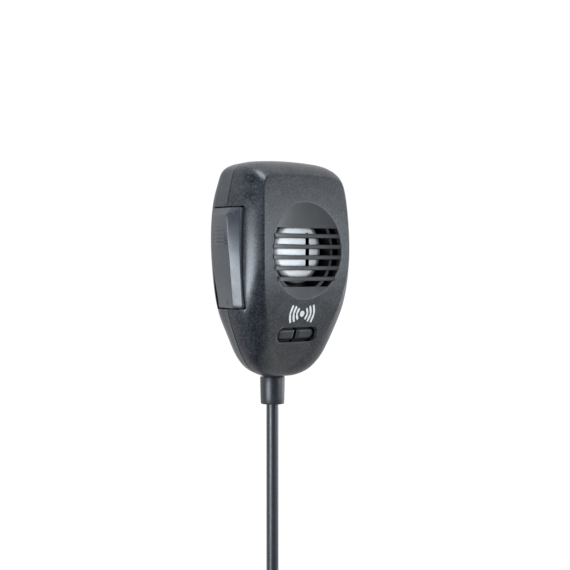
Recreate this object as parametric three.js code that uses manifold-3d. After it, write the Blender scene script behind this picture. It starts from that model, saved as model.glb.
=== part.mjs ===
// Hand microphone for a two-way radio, in millimetres, +Z up, front face towards -Y.
// The whole microphone hangs by the stud on its back, whose flat outer face holds the origin.
import * as THREE from 'three';
import { mergeVertices } from 'three/addons/utils/BufferGeometryUtils.js';
import Module from 'manifold-3d';

const wasm = await Module();
wasm.setup();

// ---- Driving dimensions ---------------------------------------------------------------
// Inside this file the centre of the grille dish, on the face, is (0, 0, 0).
const GAP = 0.3; // between pieces that touch
const WALL = 2.2;
const BODY_WIDTH = 60;
const BODY_TOP = 37.2;
const BODY_BOTTOM = -52.4;
const FACE_WIDTH = 49.4;
const FACE_TOP = 31;
const FACE_TIP = -48.5;
const PARTING_Y = 17;
const BACK_Y = 30;
const FACE_CROWN_LOWER = 96; // radius of the face's arc below the grille centre
const FACE_CROWN_UPPER = 220;
const WALL_FULLNESS = 3.2; // how soon the side wall swells to its full width behind the crease
const BACK_TAPER = 3; // how much thinner the back is at its bottom
const BACK_CORNER = 5;
const BACK_CORNER_GROWTH = 8;

const DISH_RADIUS = 20;
const DISH_DEPTH = 3.2;
const DISH_WALL = 1.8;
const SLOT_COUNT = 6;
const SLOT_PITCH = 4.43;
const SLOT_HEIGHT = 2.1;
const SLOT_TOP_Z = 8.3;

const CAPSULE_RADIUS = 14;
const CAPSULE_FRONT_Y = 6.2;
const CAPSULE_DOME = 3.2;
const CAPSULE_DEPTH = 10.3;
const CAPSULE_SHEET = 0.5;
const COLLAR_BACK_Y = 12.3; // of the ring wall that the capsule's rubber sits in

const BOARD_Y = 19;
const BOARD_THICKNESS = 1.6;
const BOARD_BOTTOM = -41;
const BOARD_LEFT = -19.5;
const BOARD_MARGIN = 5;

const PTT_WIDTH_Y = 17.8;
const PTT_FRONT_Y = 7.6;
const PTT_BOTTOM = -23.8;
const PTT_TOP = 17.8;
const PTT_PROUD = 4.1; // how far the lever's ridge stands out of the body's side
const PTT_CLEARANCE = 0.5;
const PTT_PIVOT_Z = -19.6;
const PTT_PIVOT_INSET = 4.2; // from the body's side to the pivot
const PIN_RADIUS = 1.2;

const KEY_CENTRE_Z = -34.6;
const KEY_WINDOW_LENGTH = 22.8;
const KEY_WINDOW_HEIGHT = 6.2;
const KEY_RECESS = 1.3;
const KEY_CLEARANCE = 0.8;
const TACT_SIZE = 6;

const STUD_Z = 8;
const STUD_RADIUS = 8;
const STUD_HEIGHT = 7;
const STUD_DISC = 2.6;
const STUD_NECK = 4.2;
const STUD_SCREW_RADIUS = 1.6;

const SCREW_RADIUS = 0.95;
const SCREW_HEAD_RADIUS = 2.6;
const SCREW_HEAD_HEIGHT = 1.8;
const BOSS_RADIUS = 3.1;

const CORD_DIAMETER = 5.2;
const CORD_Y = 21.3;
const BOOT_LENGTH = 11.6;
const BOOT_RADIUS = 5.25;
const BOOT_END_RADIUS = 4.95;
const BOOT_NECK_RADIUS = 3.8;

const CURL_DIAMETER = 14.4; // outer diameter of the curly stretch
const CURL_RING_RADIUS = 30; // of the loops that it is hung up in
const CURL_LOOP_STEP = 14.9; // from one loop to the next
const CURL_LOOPS = 2; // whole loops, before the last quarter down to the tail
const LEAD_BOTTOM = -141; // where the straight lead starts to bend
const LEAD_BEND = 13;
const TAIL_LENGTH = 40;

const PLUG_RADIUS = 8.2;
const PLUG_LENGTH = 24;
const PLUG_BOOT_LENGTH = 15;
const RING_RADIUS = 9.6;
const RING_LENGTH = 13;
const INSERT_RADIUS = 6.2;
const CONTACT_COUNT = 7;

// ---- Materials ------------------------------------------------------------------------
const finish = (color, roughness, metalness = 0) => (
  new THREE.MeshStandardMaterial({ color, roughness, metalness })
);
const CASE = finish(0x3a3d42, 0.55);
const CASE_SMOOTH = finish(0x45484e, 0.42);
const KEY_PLASTIC = finish(0x33363a, 0.5);
const RUBBER = finish(0x1c1d1f, 0.75);
const STEEL = finish(0xb9bcc0, 0.3, 1);
const NICKEL = finish(0xd2d3d2, 0.16, 1);
const LAMINATE = finish(0x24563a, 0.5);
const SWITCH_PLASTIC = finish(0x202124, 0.5);
const LIGHT_PLASTIC = finish(0xd8d4c8, 0.5);

// ---- Solids ---------------------------------------------------------------------------
// A closed mesh of shared points whose faces point out, whichever way it was drawn.
function closed(geometry) {
  const loose = geometry.clone();
  loose.deleteAttribute('normal');
  loose.deleteAttribute('uv');
  const bare = mergeVertices(loose, 1e-4);
  const corner = [0, 1, 2].map(() => new THREE.Vector3());
  let volume = 0;
  for (let i = 0; i < bare.index.count; i += 3) {
    corner.forEach((point, k) => {
      point.fromBufferAttribute(bare.attributes.position, bare.index.getX(i + k));
    });
    volume += corner[0].dot(corner[1].cross(corner[2]));
  }
  if (volume < 0) bare.setIndex([...bare.index.array].reverse());
  return bare;
}

function toSolid(geometry) {
  const bare = closed(geometry);
  const vertProperties = new Float32Array(bare.attributes.position.array);
  const triVerts = new Uint32Array(bare.index.array);
  return new wasm.Manifold(new wasm.Mesh({ numProp: 3, vertProperties, triVerts }));
}

function fromSolid(solid) {
  const { vertProperties, triVerts } = solid.getMesh();
  const geometry = new THREE.BufferGeometry();
  geometry.setAttribute('position', new THREE.BufferAttribute(vertProperties, 3));
  geometry.setIndex(new THREE.BufferAttribute(triVerts, 1));
  return geometry;
}

function join(first, ...others) {
  return fromSolid(others.reduce((solid, other) => solid.add(toSolid(other)), toSolid(first)));
}

function cut(first, ...tools) {
  return fromSolid(tools.reduce((solid, tool) => solid.subtract(toSolid(tool)), toSolid(first)));
}

function keep(first, other) {
  return fromSolid(toSolid(first).intersect(toSolid(other)));
}

function box([x0, x1], [y0, y1], [z0, z1]) {
  const geometry = new THREE.BoxGeometry(x1 - x0, y1 - y0, z1 - z0);
  return geometry.translate((x0 + x1) / 2, (y0 + y1) / 2, (z0 + z1) / 2);
}

// A cylinder or cone between two points.
function rod(start, end, radius, { endRadius = radius, sides = 12 } = {}) {
  const from = new THREE.Vector3(...start);
  const along = new THREE.Vector3(...end).sub(from);
  const geometry = new THREE.CylinderGeometry(endRadius, radius, along.length(), sides);
  const turn = new THREE.Quaternion();
  turn.setFromUnitVectors(new THREE.Vector3(0, 1, 0), along.clone().normalize());
  const middle = from.addScaledVector(along, 0.5);
  return geometry.applyQuaternion(turn).translate(middle.x, middle.y, middle.z);
}

// A turned piece about the Y axis through (x, z); the profile is [radius, y] and closes on itself
// or on the axis.
function turned(profile, x = 0, z = 0, segments = 24) {
  const points = profile.map(([radius, y]) => new THREE.Vector2(radius, y));
  return closed(new THREE.LatheGeometry(points, segments)).translate(x, 0, z);
}

// A flat outline in X and Z, from y0 back to y1.
function prismY(outline, y0, y1) {
  const shape = new THREE.Shape(outline.map(([x, z]) => new THREE.Vector2(x, z)));
  const geometry = new THREE.ExtrudeGeometry(shape, { depth: y1 - y0, bevelEnabled: false });
  return geometry.rotateX(Math.PI / 2).translate(0, y1, 0);
}

// A flat outline in Y and Z, from x0 across to x1.
function prismX(outline, x0, x1) {
  const shape = new THREE.Shape(outline.map(([y, z]) => new THREE.Vector2(y, z)));
  const geometry = new THREE.ExtrudeGeometry(shape, { depth: x1 - x0, bevelEnabled: false });
  const cyclic = new THREE.Matrix4().set(0, 0, 1, x0, 1, 0, 0, 0, 0, 1, 0, 0, 0, 0, 0, 1);
  return geometry.applyMatrix4(cyclic);
}

function circle(radius, sides) {
  const points = [];
  for (let i = 0; i < sides; i++) {
    const angle = (i / sides) * 2 * Math.PI;
    points.push(new THREE.Vector2(radius * Math.cos(angle), radius * Math.sin(angle)));
  }
  return new THREE.Shape(points);
}

function tube(points, radius, steps, sides = 8) {
  const path = new THREE.CatmullRomCurve3(points.map((point) => new THREE.Vector3(...point)));
  return new THREE.ExtrudeGeometry(circle(radius, sides), { steps, extrudePath: path });
}

// ---- The body's form ------------------------------------------------------------------
// Half outlines from the top middle down the right side to the bottom middle. Widths are
// shares of the half width, heights are shares of the top and of the bottom.
const PARTING_OUTLINE = [
  [0, 1], [0.4, 0.99], [0.66, 0.965], [0.83, 0.895], [0.9, 0.74], [0.97, 0.5], [1, -0.05],
  [0.967, -0.458], [0.84, -0.67], [0.67, -0.857], [0.5, -0.95], [0.27, -0.995], [0, -1],
];
const FACE_OUTLINE = [
  [0, 1], [0.4, 0.99], [0.7, 0.975], [0.88, 0.93], [0.935, 0.84], [0.975, 0.55], [1, 0],
  [0.95, -0.3], [0.77, -0.592], [0.6, -0.73], [0.4, -0.86], [0.19, -0.965], [0, -1],
];
const RING_POINTS = 40;

function outlineRing(halfOutline, width, top, bottom) {
  const right = halfOutline.map(([share, height]) => (
    [share * width / 2, height > 0 ? height * top : -height * bottom]
  ));
  const left = right.slice(1, -1).reverse().map(([x, z]) => [-x, z]);
  const loop = [...right, ...left].map(([x, z]) => new THREE.Vector3(x, 0, z));
  const curve = new THREE.CatmullRomCurve3(loop, true, 'centripetal');
  return curve.getPoints(RING_POINTS).slice(0, RING_POINTS).map(({ x, z }) => [x, z]);
}

// Moves a clockwise ring inwards by a distance.
function insetRing(ring, distance) {
  return ring.map(([x, z], i) => {
    const before = ring[(i + ring.length - 1) % ring.length];
    const after = ring[(i + 1) % ring.length];
    const alongX = after[0] - before[0];
    const alongZ = after[1] - before[1];
    const length = Math.hypot(alongX, alongZ);
    return [x + (alongZ / length) * distance, z - (alongX / length) * distance];
  });
}

function faceY(z) {
  return (z * z) / (2 * (z < 0 ? FACE_CROWN_LOWER : FACE_CROWN_UPPER));
}

function backY(z) {
  const height = z - STUD_Z;
  if (height > 0) return BACK_Y - 2.4 * (height / (BODY_TOP - STUD_Z)) ** 2;
  return BACK_Y - BACK_TAPER * (height / (STUD_Z - BODY_BOTTOM)) ** 2;
}

const partingRing = outlineRing(PARTING_OUTLINE, BODY_WIDTH, BODY_TOP, BODY_BOTTOM);
const creaseRing = outlineRing(FACE_OUTLINE, FACE_WIDTH, FACE_TOP, FACE_TIP);
const RING_CENTRE_Z = -5;

// A closed skin through rings of [x, y, z] points, with a fan over each end.
function loft(rings) {
  const count = rings[0].length;
  const positions = rings.flat(2);
  const index = [];
  for (let r = 0; r + 1 < rings.length; r++) {
    for (let i = 0; i < count; i++) {
      const a = r * count + i;
      const b = r * count + ((i + 1) % count);
      index.push(a, b, a + count, b, b + count, a + count);
    }
  }
  const addFan = (ring, first, flipped) => {
    const sum = ring.reduce((total, point) => total.map((value, k) => value + point[k]), [0, 0, 0]);
    const centre = positions.length / 3;
    positions.push(...sum.map((value) => value / count));
    for (let i = 0; i < count; i++) {
      const a = first + i;
      const b = first + ((i + 1) % count);
      index.push(...(flipped ? [b, a, centre] : [a, b, centre]));
    }
  };
  addFan(rings[0], 0, true);
  addFan(rings[rings.length - 1], (rings.length - 1) * count, false);
  const geometry = new THREE.BufferGeometry();
  geometry.setAttribute('position', new THREE.Float32BufferAttribute(positions, 3));
  geometry.setIndex(index);
  return geometry;
}

function shrink([x, z], share) {
  return [x * share, RING_CENTRE_Z + (z - RING_CENTRE_Z) * share];
}

// The front half: the side wall swells from the crease of the face out to the parting line.
function frontForm(inset, endY) {
  const outer = insetRing(partingRing, inset);
  const crease = insetRing(creaseRing, inset);
  const stations = inset > 0 ? [1, 0.4, 0.14, 0] : [1, 0.6, 0.3, 0.12, 0];
  const wall = stations.map((back) => crease.map(([x, z], i) => {
    const out = 1 - (1 - back) ** WALL_FULLNESS;
    const creaseY = faceY(z) + inset;
    const y = creaseY + (PARTING_Y - GAP / 2 - creaseY) * back;
    return [x + (outer[i][0] - x) * out, y, z + (outer[i][1] - z) * out];
  }));
  const face = [0.6, 0.1].map((share) => crease.map((point) => {
    const [x, z] = shrink(point, share);
    return [x, faceY(z) + inset, z];
  }));
  const end = outer.map(([x, z]) => [x, endY, z]);
  return loft(endY > PARTING_Y ? [end, ...wall, ...face] : [...wall, ...face]);
}

// The back half: a straight side with a little draft, a rounded corner and a crowned back.
function backForm(inset, startY) {
  const outer = insetRing(partingRing, inset);
  const cornerSteps = 3;
  const draft = 0.4;
  const rings = [outer.map(([x, z]) => [x, startY, z])];
  for (let step = 0; step <= cornerSteps; step++) {
    const angle = (step / cornerSteps) * 0.5 * Math.PI;
    rings.push(outer.map(([x, z], i) => {
      const sideways = Math.min(1, Math.abs(x) / (0.25 * BODY_WIDTH));
      const low = Math.min(1, Math.max(0, z / BODY_BOTTOM));
      const room = backY(z) - PARTING_Y - 1;
      const corner = Math.min(BACK_CORNER + BACK_CORNER_GROWTH * low * sideways, room) - inset;
      const moved = insetRing([outer[(i + RING_POINTS - 1) % RING_POINTS], [x, z],
        outer[(i + 1) % RING_POINTS]], draft + corner * (1 - Math.cos(angle)))[1];
      return [moved[0], backY(z) - inset - corner * (1 - Math.sin(angle)), moved[1]];
    }));
  }
  const last = rings[rings.length - 1];
  [0.5].forEach((share) => rings.push(last.map(([x, , z]) => {
    const [nearX, nearZ] = shrink([x, z], share);
    return [nearX, backY(nearZ) - inset, nearZ];
  })));
  return loft(rings);
}

// ---- Places that several pieces share -------------------------------------------------
const SIDE_X = -BODY_WIDTH / 2; // the lever's side
const SHELL_SCREWS = [
  [-0.6 * BODY_WIDTH / 2, 0.67 * BODY_TOP],
  [0.6 * BODY_WIDTH / 2, 0.67 * BODY_TOP],
  [-0.5 * BODY_WIDTH / 2, 0.76 * BODY_BOTTOM],
  [0.5 * BODY_WIDTH / 2, 0.76 * BODY_BOTTOM],
];
const BOARD_SCREWS = [[-12, -24.5], [17, -22], [0, 27.5]];
const CLAMP_Z = BODY_BOTTOM + 8;
const CLAMP_SCREWS = [[-7.4, CLAMP_Z], [7.4, CLAMP_Z]];
const SCREW_SEAT_Y = 23;
const SCREW_TIP_Y = 9.5;
const BOARD_BACK_Y = BOARD_Y + BOARD_THICKNESS;
const PTT_BACK_Y = PTT_FRONT_Y + PTT_WIDTH_Y;
const PIVOT_X = SIDE_X + PTT_PIVOT_INSET;
const PIVOT_Y = [12.5, 16.5];
const NOSE_X = -25.6;
const NOSE_Z = 7;
const STUD_FACE_Y = BACK_Y + STUD_HEIGHT;
const BOOT_TOP = BODY_BOTTOM - GAP;
const BOOT_END = BOOT_TOP - BOOT_LENGTH;
const NECK_TOP = BODY_BOTTOM + WALL + 1.8;
const BOOT_FLANGE_RADIUS = BOOT_NECK_RADIUS + 0.7;

const nodes = [];

function add(name, geometry, material) {
  const mesh = new THREE.Mesh(geometry, material);
  mesh.name = name;
  nodes.push(mesh);
}

// ---- Front shell ----------------------------------------------------------------------
function dishY(radius) {
  return DISH_DEPTH * (1 - (radius / DISH_RADIUS) ** 2);
}

// Pushes every point back by the crown of the face at its height.
function followCrown(geometry) {
  const { position } = geometry.attributes;
  for (let i = 0; i < position.count; i++) {
    position.setY(i, position.getY(i) + faceY(position.getZ(i)));
  }
  return geometry;
}

function dishProfile(offset, radius, far) {
  const profile = [[0, far], [radius, far]];
  const steps = 4;
  for (let step = 0; step <= steps; step++) {
    const at = radius * (1 - step / steps);
    profile.push([at, dishY(at) + offset]);
  }
  return profile;
}

function stadium(halfLength, halfHeight, centreZ) {
  const flat = halfLength - halfHeight;
  const arcSteps = 4;
  const points = [];
  for (const side of [1, -1]) {
    for (let step = 0; step <= arcSteps; step++) {
      const angle = side * (Math.PI / 2) - (Math.PI * step) / arcSteps;
      points.push([
        side * flat + halfHeight * Math.cos(angle),
        centreZ + halfHeight * Math.sin(angle),
      ]);
    }
  }
  return points;
}

function pttOpening() {
  return box([SIDE_X - 10, SIDE_X + 6], [PTT_FRONT_Y, PTT_BACK_Y], [PTT_BOTTOM, PTT_TOP]);
}

function frontShell() {
  const outside = frontForm(0, PARTING_Y - GAP / 2);
  let shell = cut(outside, frontForm(WALL, PARTING_Y + 2));
  const bosses = SHELL_SCREWS.map(([x, z]) => (
    rod([x, faceY(z) + 0.8, z], [x, PARTING_Y - GAP / 2, z], BOSS_RADIUS)
  ));
  const posts = BOARD_SCREWS.map(([x, z]) => (
    rod([x, faceY(z) + 0.8, z], [x, BOARD_Y - GAP, z], 2.5)
  ));
  const collar = turned([
    [CAPSULE_RADIUS + 2.6, 1.4], [CAPSULE_RADIUS + 4, 1.4],
    [CAPSULE_RADIUS + 4, COLLAR_BACK_Y], [CAPSULE_RADIUS + 2.6, COLLAR_BACK_Y],
    [CAPSULE_RADIUS + 2.6, 1.4],
  ]);
  const dishBack = followCrown(turned([
    [0, 1], [DISH_RADIUS + 1.4, 1], [DISH_RADIUS + 1.4, DISH_WALL + 0.4],
    [DISH_RADIUS / 2, DISH_DEPTH * 0.75 + DISH_WALL], [0, DISH_DEPTH + DISH_WALL],
  ]));
  shell = join(shell, ...bosses.map((boss) => keep(boss, outside)), ...posts, collar, dishBack);
  const dish = followCrown(turned(dishProfile(0, DISH_RADIUS, -6)));
  const slots = [];
  const reach = DISH_RADIUS - 0.4;
  for (let i = 0; i < SLOT_COUNT; i++) {
    const z = SLOT_TOP_Z - i * SLOT_PITCH;
    const half = Math.sqrt(reach ** 2 - (Math.abs(z) + SLOT_HEIGHT / 2) ** 2);
    slots.push(box([-half, half], [-6, DISH_DEPTH + DISH_WALL + 2],
      [z - SLOT_HEIGHT / 2, z + SLOT_HEIGHT / 2]));
  }
  const window = prismY(stadium(KEY_WINDOW_LENGTH / 2, KEY_WINDOW_HEIGHT / 2, KEY_CENTRE_Z), 0, 12);
  const bores = [...SHELL_SCREWS, ...BOARD_SCREWS].map(([x, z]) => (
    rod([x, SCREW_TIP_Y - 0.5, z], [x, BOARD_BACK_Y, z], SCREW_RADIUS + GAP, { sides: 12 })
  ));
  return cut(shell, dish, ...slots, window, pttOpening(), ...bores);
}

// ---- Back shell -----------------------------------------------------------------------
function backShell() {
  const startY = PARTING_Y + GAP / 2;
  let shell = cut(backForm(0, startY), backForm(WALL, startY - 1));
  const bosses = SHELL_SCREWS.map(([x, z]) => (
    rod([x, startY, z], [x, backY(z) - WALL / 2, z], BOSS_RADIUS + 0.6)
  ));
  const clampPosts = CLAMP_SCREWS.map(([x, z]) => (
    rod([x, CORD_Y - CORD_DIAMETER / 2, z], [x, backY(z) - WALL / 2, z], 2.4)
  ));
  const inside = backForm(0, startY);
  shell = join(shell, ...[...bosses, ...clampPosts].map((post) => keep(post, inside)));
  const throughs = SHELL_SCREWS.map(([x, z]) => (
    rod([x, startY - 1, z], [x, BACK_Y, z], SCREW_RADIUS + GAP, { sides: 12 })
  ));
  const sinks = SHELL_SCREWS.map(([x, z]) => (
    rod([x, SCREW_SEAT_Y, z], [x, BACK_Y + 3, z], SCREW_HEAD_RADIUS + GAP)
  ));
  const clampBores = CLAMP_SCREWS.map(([x, z]) => (
    rod([x, PARTING_Y, z], [x, PARTING_Y + 7.5, z], SCREW_RADIUS + GAP, { sides: 12 })
  ));
  const studHole = rod([0, BACK_Y - 8, STUD_Z], [0, BACK_Y + 2, STUD_Z], STUD_SCREW_RADIUS + GAP);
  const neck = BOOT_NECK_RADIUS + GAP;
  const neckHole = rod([0, CORD_Y, BODY_BOTTOM + 5], [0, CORD_Y, BODY_BOTTOM - 3], neck);
  const neckSlot = box([-neck, neck], [startY - 1, CORD_Y], [BODY_BOTTOM - 3, BODY_BOTTOM + 5]);
  const flangePocket = rod([0, CORD_Y, NECK_TOP - GAP], [0, CORD_Y, NECK_TOP + 4], BOOT_FLANGE_RADIUS + GAP);
  return cut(
    shell, ...throughs, ...sinks, ...clampBores, studHole, neckHole, neckSlot, flangePocket, pttOpening(),
  );
}

add('front_shell', frontShell(), CASE);
add('back_shell', backShell(), CASE_SMOOTH);

// ---- Press-to-talk lever, its pivot, spring and switch ----------------------------------
const LEVER_EDGE_X = SIDE_X - 0.3;
const LEVER_RIDGE_X = SIDE_X - PTT_PROUD;
const LEVER_HEEL_X = SIDE_X - 1.6; // where the outer face meets the back edge
const LEVER_BACK_X = SIDE_X + 1.6;
const LEVER_FRONT_Y = PTT_FRONT_Y + PTT_CLEARANCE;
const LEVER_BACK_Y = PTT_BACK_Y - PTT_CLEARANCE;
const LEVER_BOTTOM = PTT_BOTTOM + PTT_CLEARANCE;
const LEVER_TOP = PTT_TOP - PTT_CLEARANCE;
const LEVER_OUTER_TOP = LEVER_TOP - 2.8; // the top end slants down to the ridge
const RIDGE_Y = PTT_FRONT_Y + 4.4;
const SPRING_Z = -6;
const SPRING_Y = 16;
const SPRING_SEAT_X = -21.2;

function pttLever() {
  const section = new THREE.Shape([
    [SIDE_X + 1.6, LEVER_FRONT_Y], [LEVER_EDGE_X, LEVER_FRONT_Y], [LEVER_RIDGE_X, RIDGE_Y],
    [LEVER_HEEL_X, LEVER_BACK_Y - 0.6], [LEVER_HEEL_X + 0.6, LEVER_BACK_Y],
    [LEVER_BACK_X, LEVER_BACK_Y],
  ].map(([x, y]) => new THREE.Vector2(x, y)));
  const depth = LEVER_TOP - LEVER_BOTTOM;
  const bar = new THREE.ExtrudeGeometry(section, { depth, bevelEnabled: false });
  bar.translate(0, 0, LEVER_BOTTOM);
  const slant = prismX([
    [LEVER_FRONT_Y - 1, LEVER_TOP + 0.6], [RIDGE_Y, LEVER_OUTER_TOP],
    [LEVER_BACK_Y + 1, LEVER_OUTER_TOP], [LEVER_BACK_Y + 1, LEVER_TOP + 3],
    [LEVER_FRONT_Y - 1, LEVER_TOP + 3],
  ], SIDE_X - 10, SIDE_X + 10);
  const hollow = box([SIDE_X - 1.4, SIDE_X + 4], [LEVER_FRONT_Y + 2, LEVER_BACK_Y - 2],
    [LEVER_BOTTOM + 6, NOSE_Z - 3.5]);
  const nose = box([SIDE_X, NOSE_X], [PIVOT_Y[0] + 1, PIVOT_Y[1] + 1.5], [NOSE_Z - 2, NOSE_Z + 2]);
  const tongueX = [NOSE_X, NOSE_X + 1.3];
  const tongueY = [PIVOT_Y[0] + 1, PIVOT_Y[1] + 1.5];
  const tongue = box(tongueX, tongueY, [NOSE_Z + 4.5, PTT_TOP + 2]);
  const root = box([SIDE_X, tongueX[1]], tongueY, [NOSE_Z + 4.5, NOSE_Z + 7]);
  const lug = rod([PIVOT_X, PIVOT_Y[0], PTT_PIVOT_Z], [PIVOT_X, PIVOT_Y[1], PTT_PIVOT_Z], 2.6);
  const arm = box([SIDE_X, PIVOT_X], PIVOT_Y, [PTT_PIVOT_Z - 2.4, PTT_PIVOT_Z + 2.4]);
  const bore = rod([PIVOT_X, 0, PTT_PIVOT_Z], [PIVOT_X, 30, PTT_PIVOT_Z], PIN_RADIUS + GAP);
  return cut(join(cut(bar, slant, hollow), nose, root, tongue, lug, arm), bore);
}

function pttBracket() {
  const armZ = [PTT_PIVOT_Z - 2.6, PTT_PIVOT_Z + 2.6];
  const baseX = [PIVOT_X + 3.6, PIVOT_X + 5];
  const ends = [PIVOT_Y[0] - 1.9, PIVOT_Y[1] + 1.9];
  const arms = [[ends[0], PIVOT_Y[0] - GAP], [PIVOT_Y[1] + GAP, ends[1]]].map((y) => (
    box([PIVOT_X - 2.4, baseX[1]], y, armZ)
  ));
  const base = box(baseX, ends, [PTT_PIVOT_Z - 2.6, PTT_PIVOT_Z + 4.6]);
  const bore = rod([PIVOT_X, 0, PTT_PIVOT_Z], [PIVOT_X, 30, PTT_PIVOT_Z], PIN_RADIUS + GAP);
  return cut(join(base, ...arms), bore);
}

// A coil spring along X: one wire wound round the line y, z from x0 to x1.
function coilSpring(x0, x1, y, z, radius, wire, turns) {
  const points = [];
  const stepsPerTurn = 8;
  for (let i = 0; i <= turns * stepsPerTurn; i++) {
    const angle = (i / stepsPerTurn) * 2 * Math.PI;
    const x = x0 + ((x1 - x0) * i) / (turns * stepsPerTurn);
    points.push([x, y + radius * Math.cos(angle), z + radius * Math.sin(angle)]);
  }
  return tube(points, wire, turns * stepsPerTurn, 5);
}

add('ptt_lever', pttLever(), CASE_SMOOTH);
add('ptt_bracket', pttBracket(), STEEL);
add('ptt_pivot_pin', rod(
  [PIVOT_X, PIVOT_Y[0] - 2.2, PTT_PIVOT_Z],
  [PIVOT_X, PIVOT_Y[1] + 2.2, PTT_PIVOT_Z],
  PIN_RADIUS,
), STEEL);
add('ptt_return_spring', coilSpring(
  SIDE_X - 0.8, SPRING_SEAT_X - 0.6, SPRING_Y, SPRING_Z, 1.9, 0.28, 4,
), STEEL);
add('ptt_spring_seat', join(
  box([SPRING_SEAT_X, SPRING_SEAT_X + 1.4], [SPRING_Y - 3, BOARD_Y - GAP], [SPRING_Z - 3, SPRING_Z + 3]),
  box([SPRING_SEAT_X, SPRING_SEAT_X + 5], [BOARD_Y - 1.5, BOARD_Y - GAP], [SPRING_Z - 3, SPRING_Z + 3]),
), SWITCH_PLASTIC);

const SWITCH_X = [-22.4, -16.4];
const PLUNGER_Y = [14.4, 16.8];
const PLUNGER_HALF = 1.2;
add('ptt_switch_body', cut(
  box(SWITCH_X, [PLUNGER_Y[0] - 1.6, BOARD_Y - GAP], [NOSE_Z - 4, NOSE_Z + 4]),
  box(
    [SWITCH_X[0] - 1, SWITCH_X[0] + 4.8],
    [PLUNGER_Y[0] - GAP, PLUNGER_Y[1] + GAP],
    [NOSE_Z - PLUNGER_HALF - GAP, NOSE_Z + PLUNGER_HALF + GAP],
  ),
), SWITCH_PLASTIC);
add('ptt_switch_plunger', box(
  [NOSE_X + GAP, SWITCH_X[0] + 2.4], PLUNGER_Y, [NOSE_Z - PLUNGER_HALF, NOSE_Z + PLUNGER_HALF],
), LIGHT_PLASTIC);

// ---- Channel keys and the tact switches behind them --------------------------------------
const KEY_HALF_GAP = 0.7;
const KEY_FLANGE = 1.6;
const TACT_X = 6;
const TACT_FRONT_Y = 15.2;
const TACT_BUTTON_Y = 13.9;
const TACT_BUTTON_RADIUS = 1.7;

function channelKey(side) {
  const half = KEY_WINDOW_LENGTH / 2 - KEY_CLEARANCE;
  const height = KEY_WINDOW_HEIGHT / 2 - KEY_CLEARANCE;
  const flangeHalf = half + KEY_FLANGE;
  const flangeHeight = height + KEY_FLANGE;
  const skirtY = WALL + 0.6 + GAP;
  const pad = prismY(stadium(half, height, KEY_CENTRE_Z), KEY_RECESS, skirtY + 0.5);
  const flange = prismY(stadium(flangeHalf, flangeHeight, KEY_CENTRE_Z), skirtY, skirtY + 1);
  const stem = box([TACT_X - 1.5, TACT_X + 1.5], [faceY(KEY_CENTRE_Z) + skirtY, TACT_BUTTON_Y - GAP],
    [KEY_CENTRE_Z - 1.5, KEY_CENTRE_Z + 1.5]);
  const whole = join(followCrown(closed(pad)), followCrown(closed(flange)), stem);
  const kept = keep(whole, box([KEY_HALF_GAP, BODY_WIDTH], [0, BACK_Y], [BODY_BOTTOM, 0]));
  return side > 0 ? kept : closed(kept.scale(-1, 1, 1));
}

for (const [name, side] of [['left', -1], ['right', 1]]) {
  const x = side * TACT_X;
  const half = TACT_SIZE / 2;
  const heights = [KEY_CENTRE_Z - half, KEY_CENTRE_Z + half];
  add(`channel_key_${name}`, channelKey(side), KEY_PLASTIC);
  add(`tact_switch_${name}`, cut(
    box([x - half, x + half], [TACT_FRONT_Y, BOARD_Y - GAP], heights),
    rod(
      [x, TACT_FRONT_Y - 1, KEY_CENTRE_Z],
      [x, TACT_FRONT_Y + 1.8, KEY_CENTRE_Z],
      TACT_BUTTON_RADIUS + GAP,
    ),
  ), SWITCH_PLASTIC);
  add(`tact_plunger_${name}`, rod(
    [x, TACT_BUTTON_Y, KEY_CENTRE_Z],
    [x, TACT_FRONT_Y + 0.8, KEY_CENTRE_Z],
    TACT_BUTTON_RADIUS,
  ), LIGHT_PLASTIC);
}

// ---- Microphone capsule ------------------------------------------------------------------
const CAP_BACK_Y = CAPSULE_FRONT_Y + CAPSULE_DEPTH - 3;
const CAP_EDGE_Y = CAPSULE_FRONT_Y + CAPSULE_DOME;
const CAPSULE_BACK_Y = CAPSULE_FRONT_Y + CAPSULE_DEPTH;

function capsuleCap() {
  const profile = [[CAPSULE_RADIUS, CAP_BACK_Y]];
  const steps = 4;
  for (let step = 0; step <= steps; step++) {
    const radius = CAPSULE_RADIUS * (1 - step / steps);
    profile.push([radius, CAPSULE_FRONT_Y + CAPSULE_DOME * (radius / CAPSULE_RADIUS) ** 2]);
  }
  const inner = profile.map(([radius, y]) => (
    [Math.max(0, radius - CAPSULE_SHEET), y === CAP_BACK_Y ? y : y + CAPSULE_SHEET]
  ));
  return turned([...profile, ...inner.reverse().filter(([radius], i) => i === 0 || radius > 0),
    profile[0]]);
}

add('capsule_cap', capsuleCap(), NICKEL);
add('capsule_body', rod(
  [0, CAP_EDGE_Y + CAPSULE_SHEET + GAP, 0],
  [0, CAPSULE_BACK_Y, 0],
  CAPSULE_RADIUS - CAPSULE_SHEET - GAP,
  { sides: 24 },
), SWITCH_PLASTIC);
add('capsule_rubber_ring', turned([
  [CAPSULE_RADIUS + GAP, CAP_EDGE_Y], [CAPSULE_RADIUS + 2.3, CAP_EDGE_Y],
  [CAPSULE_RADIUS + 2.3, CAP_BACK_Y], [CAPSULE_RADIUS + GAP, CAP_BACK_Y],
  [CAPSULE_RADIUS + GAP, CAP_EDGE_Y],
]), RUBBER);
add('capsule_retainer', turned([
  [7, CAPSULE_BACK_Y + GAP], [CAPSULE_RADIUS + 1, CAPSULE_BACK_Y + GAP],
  [CAPSULE_RADIUS + 1, CAPSULE_BACK_Y + GAP + 0.8], [7, CAPSULE_BACK_Y + GAP + 0.8],
  [7, CAPSULE_BACK_Y + GAP],
]), STEEL);

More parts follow.
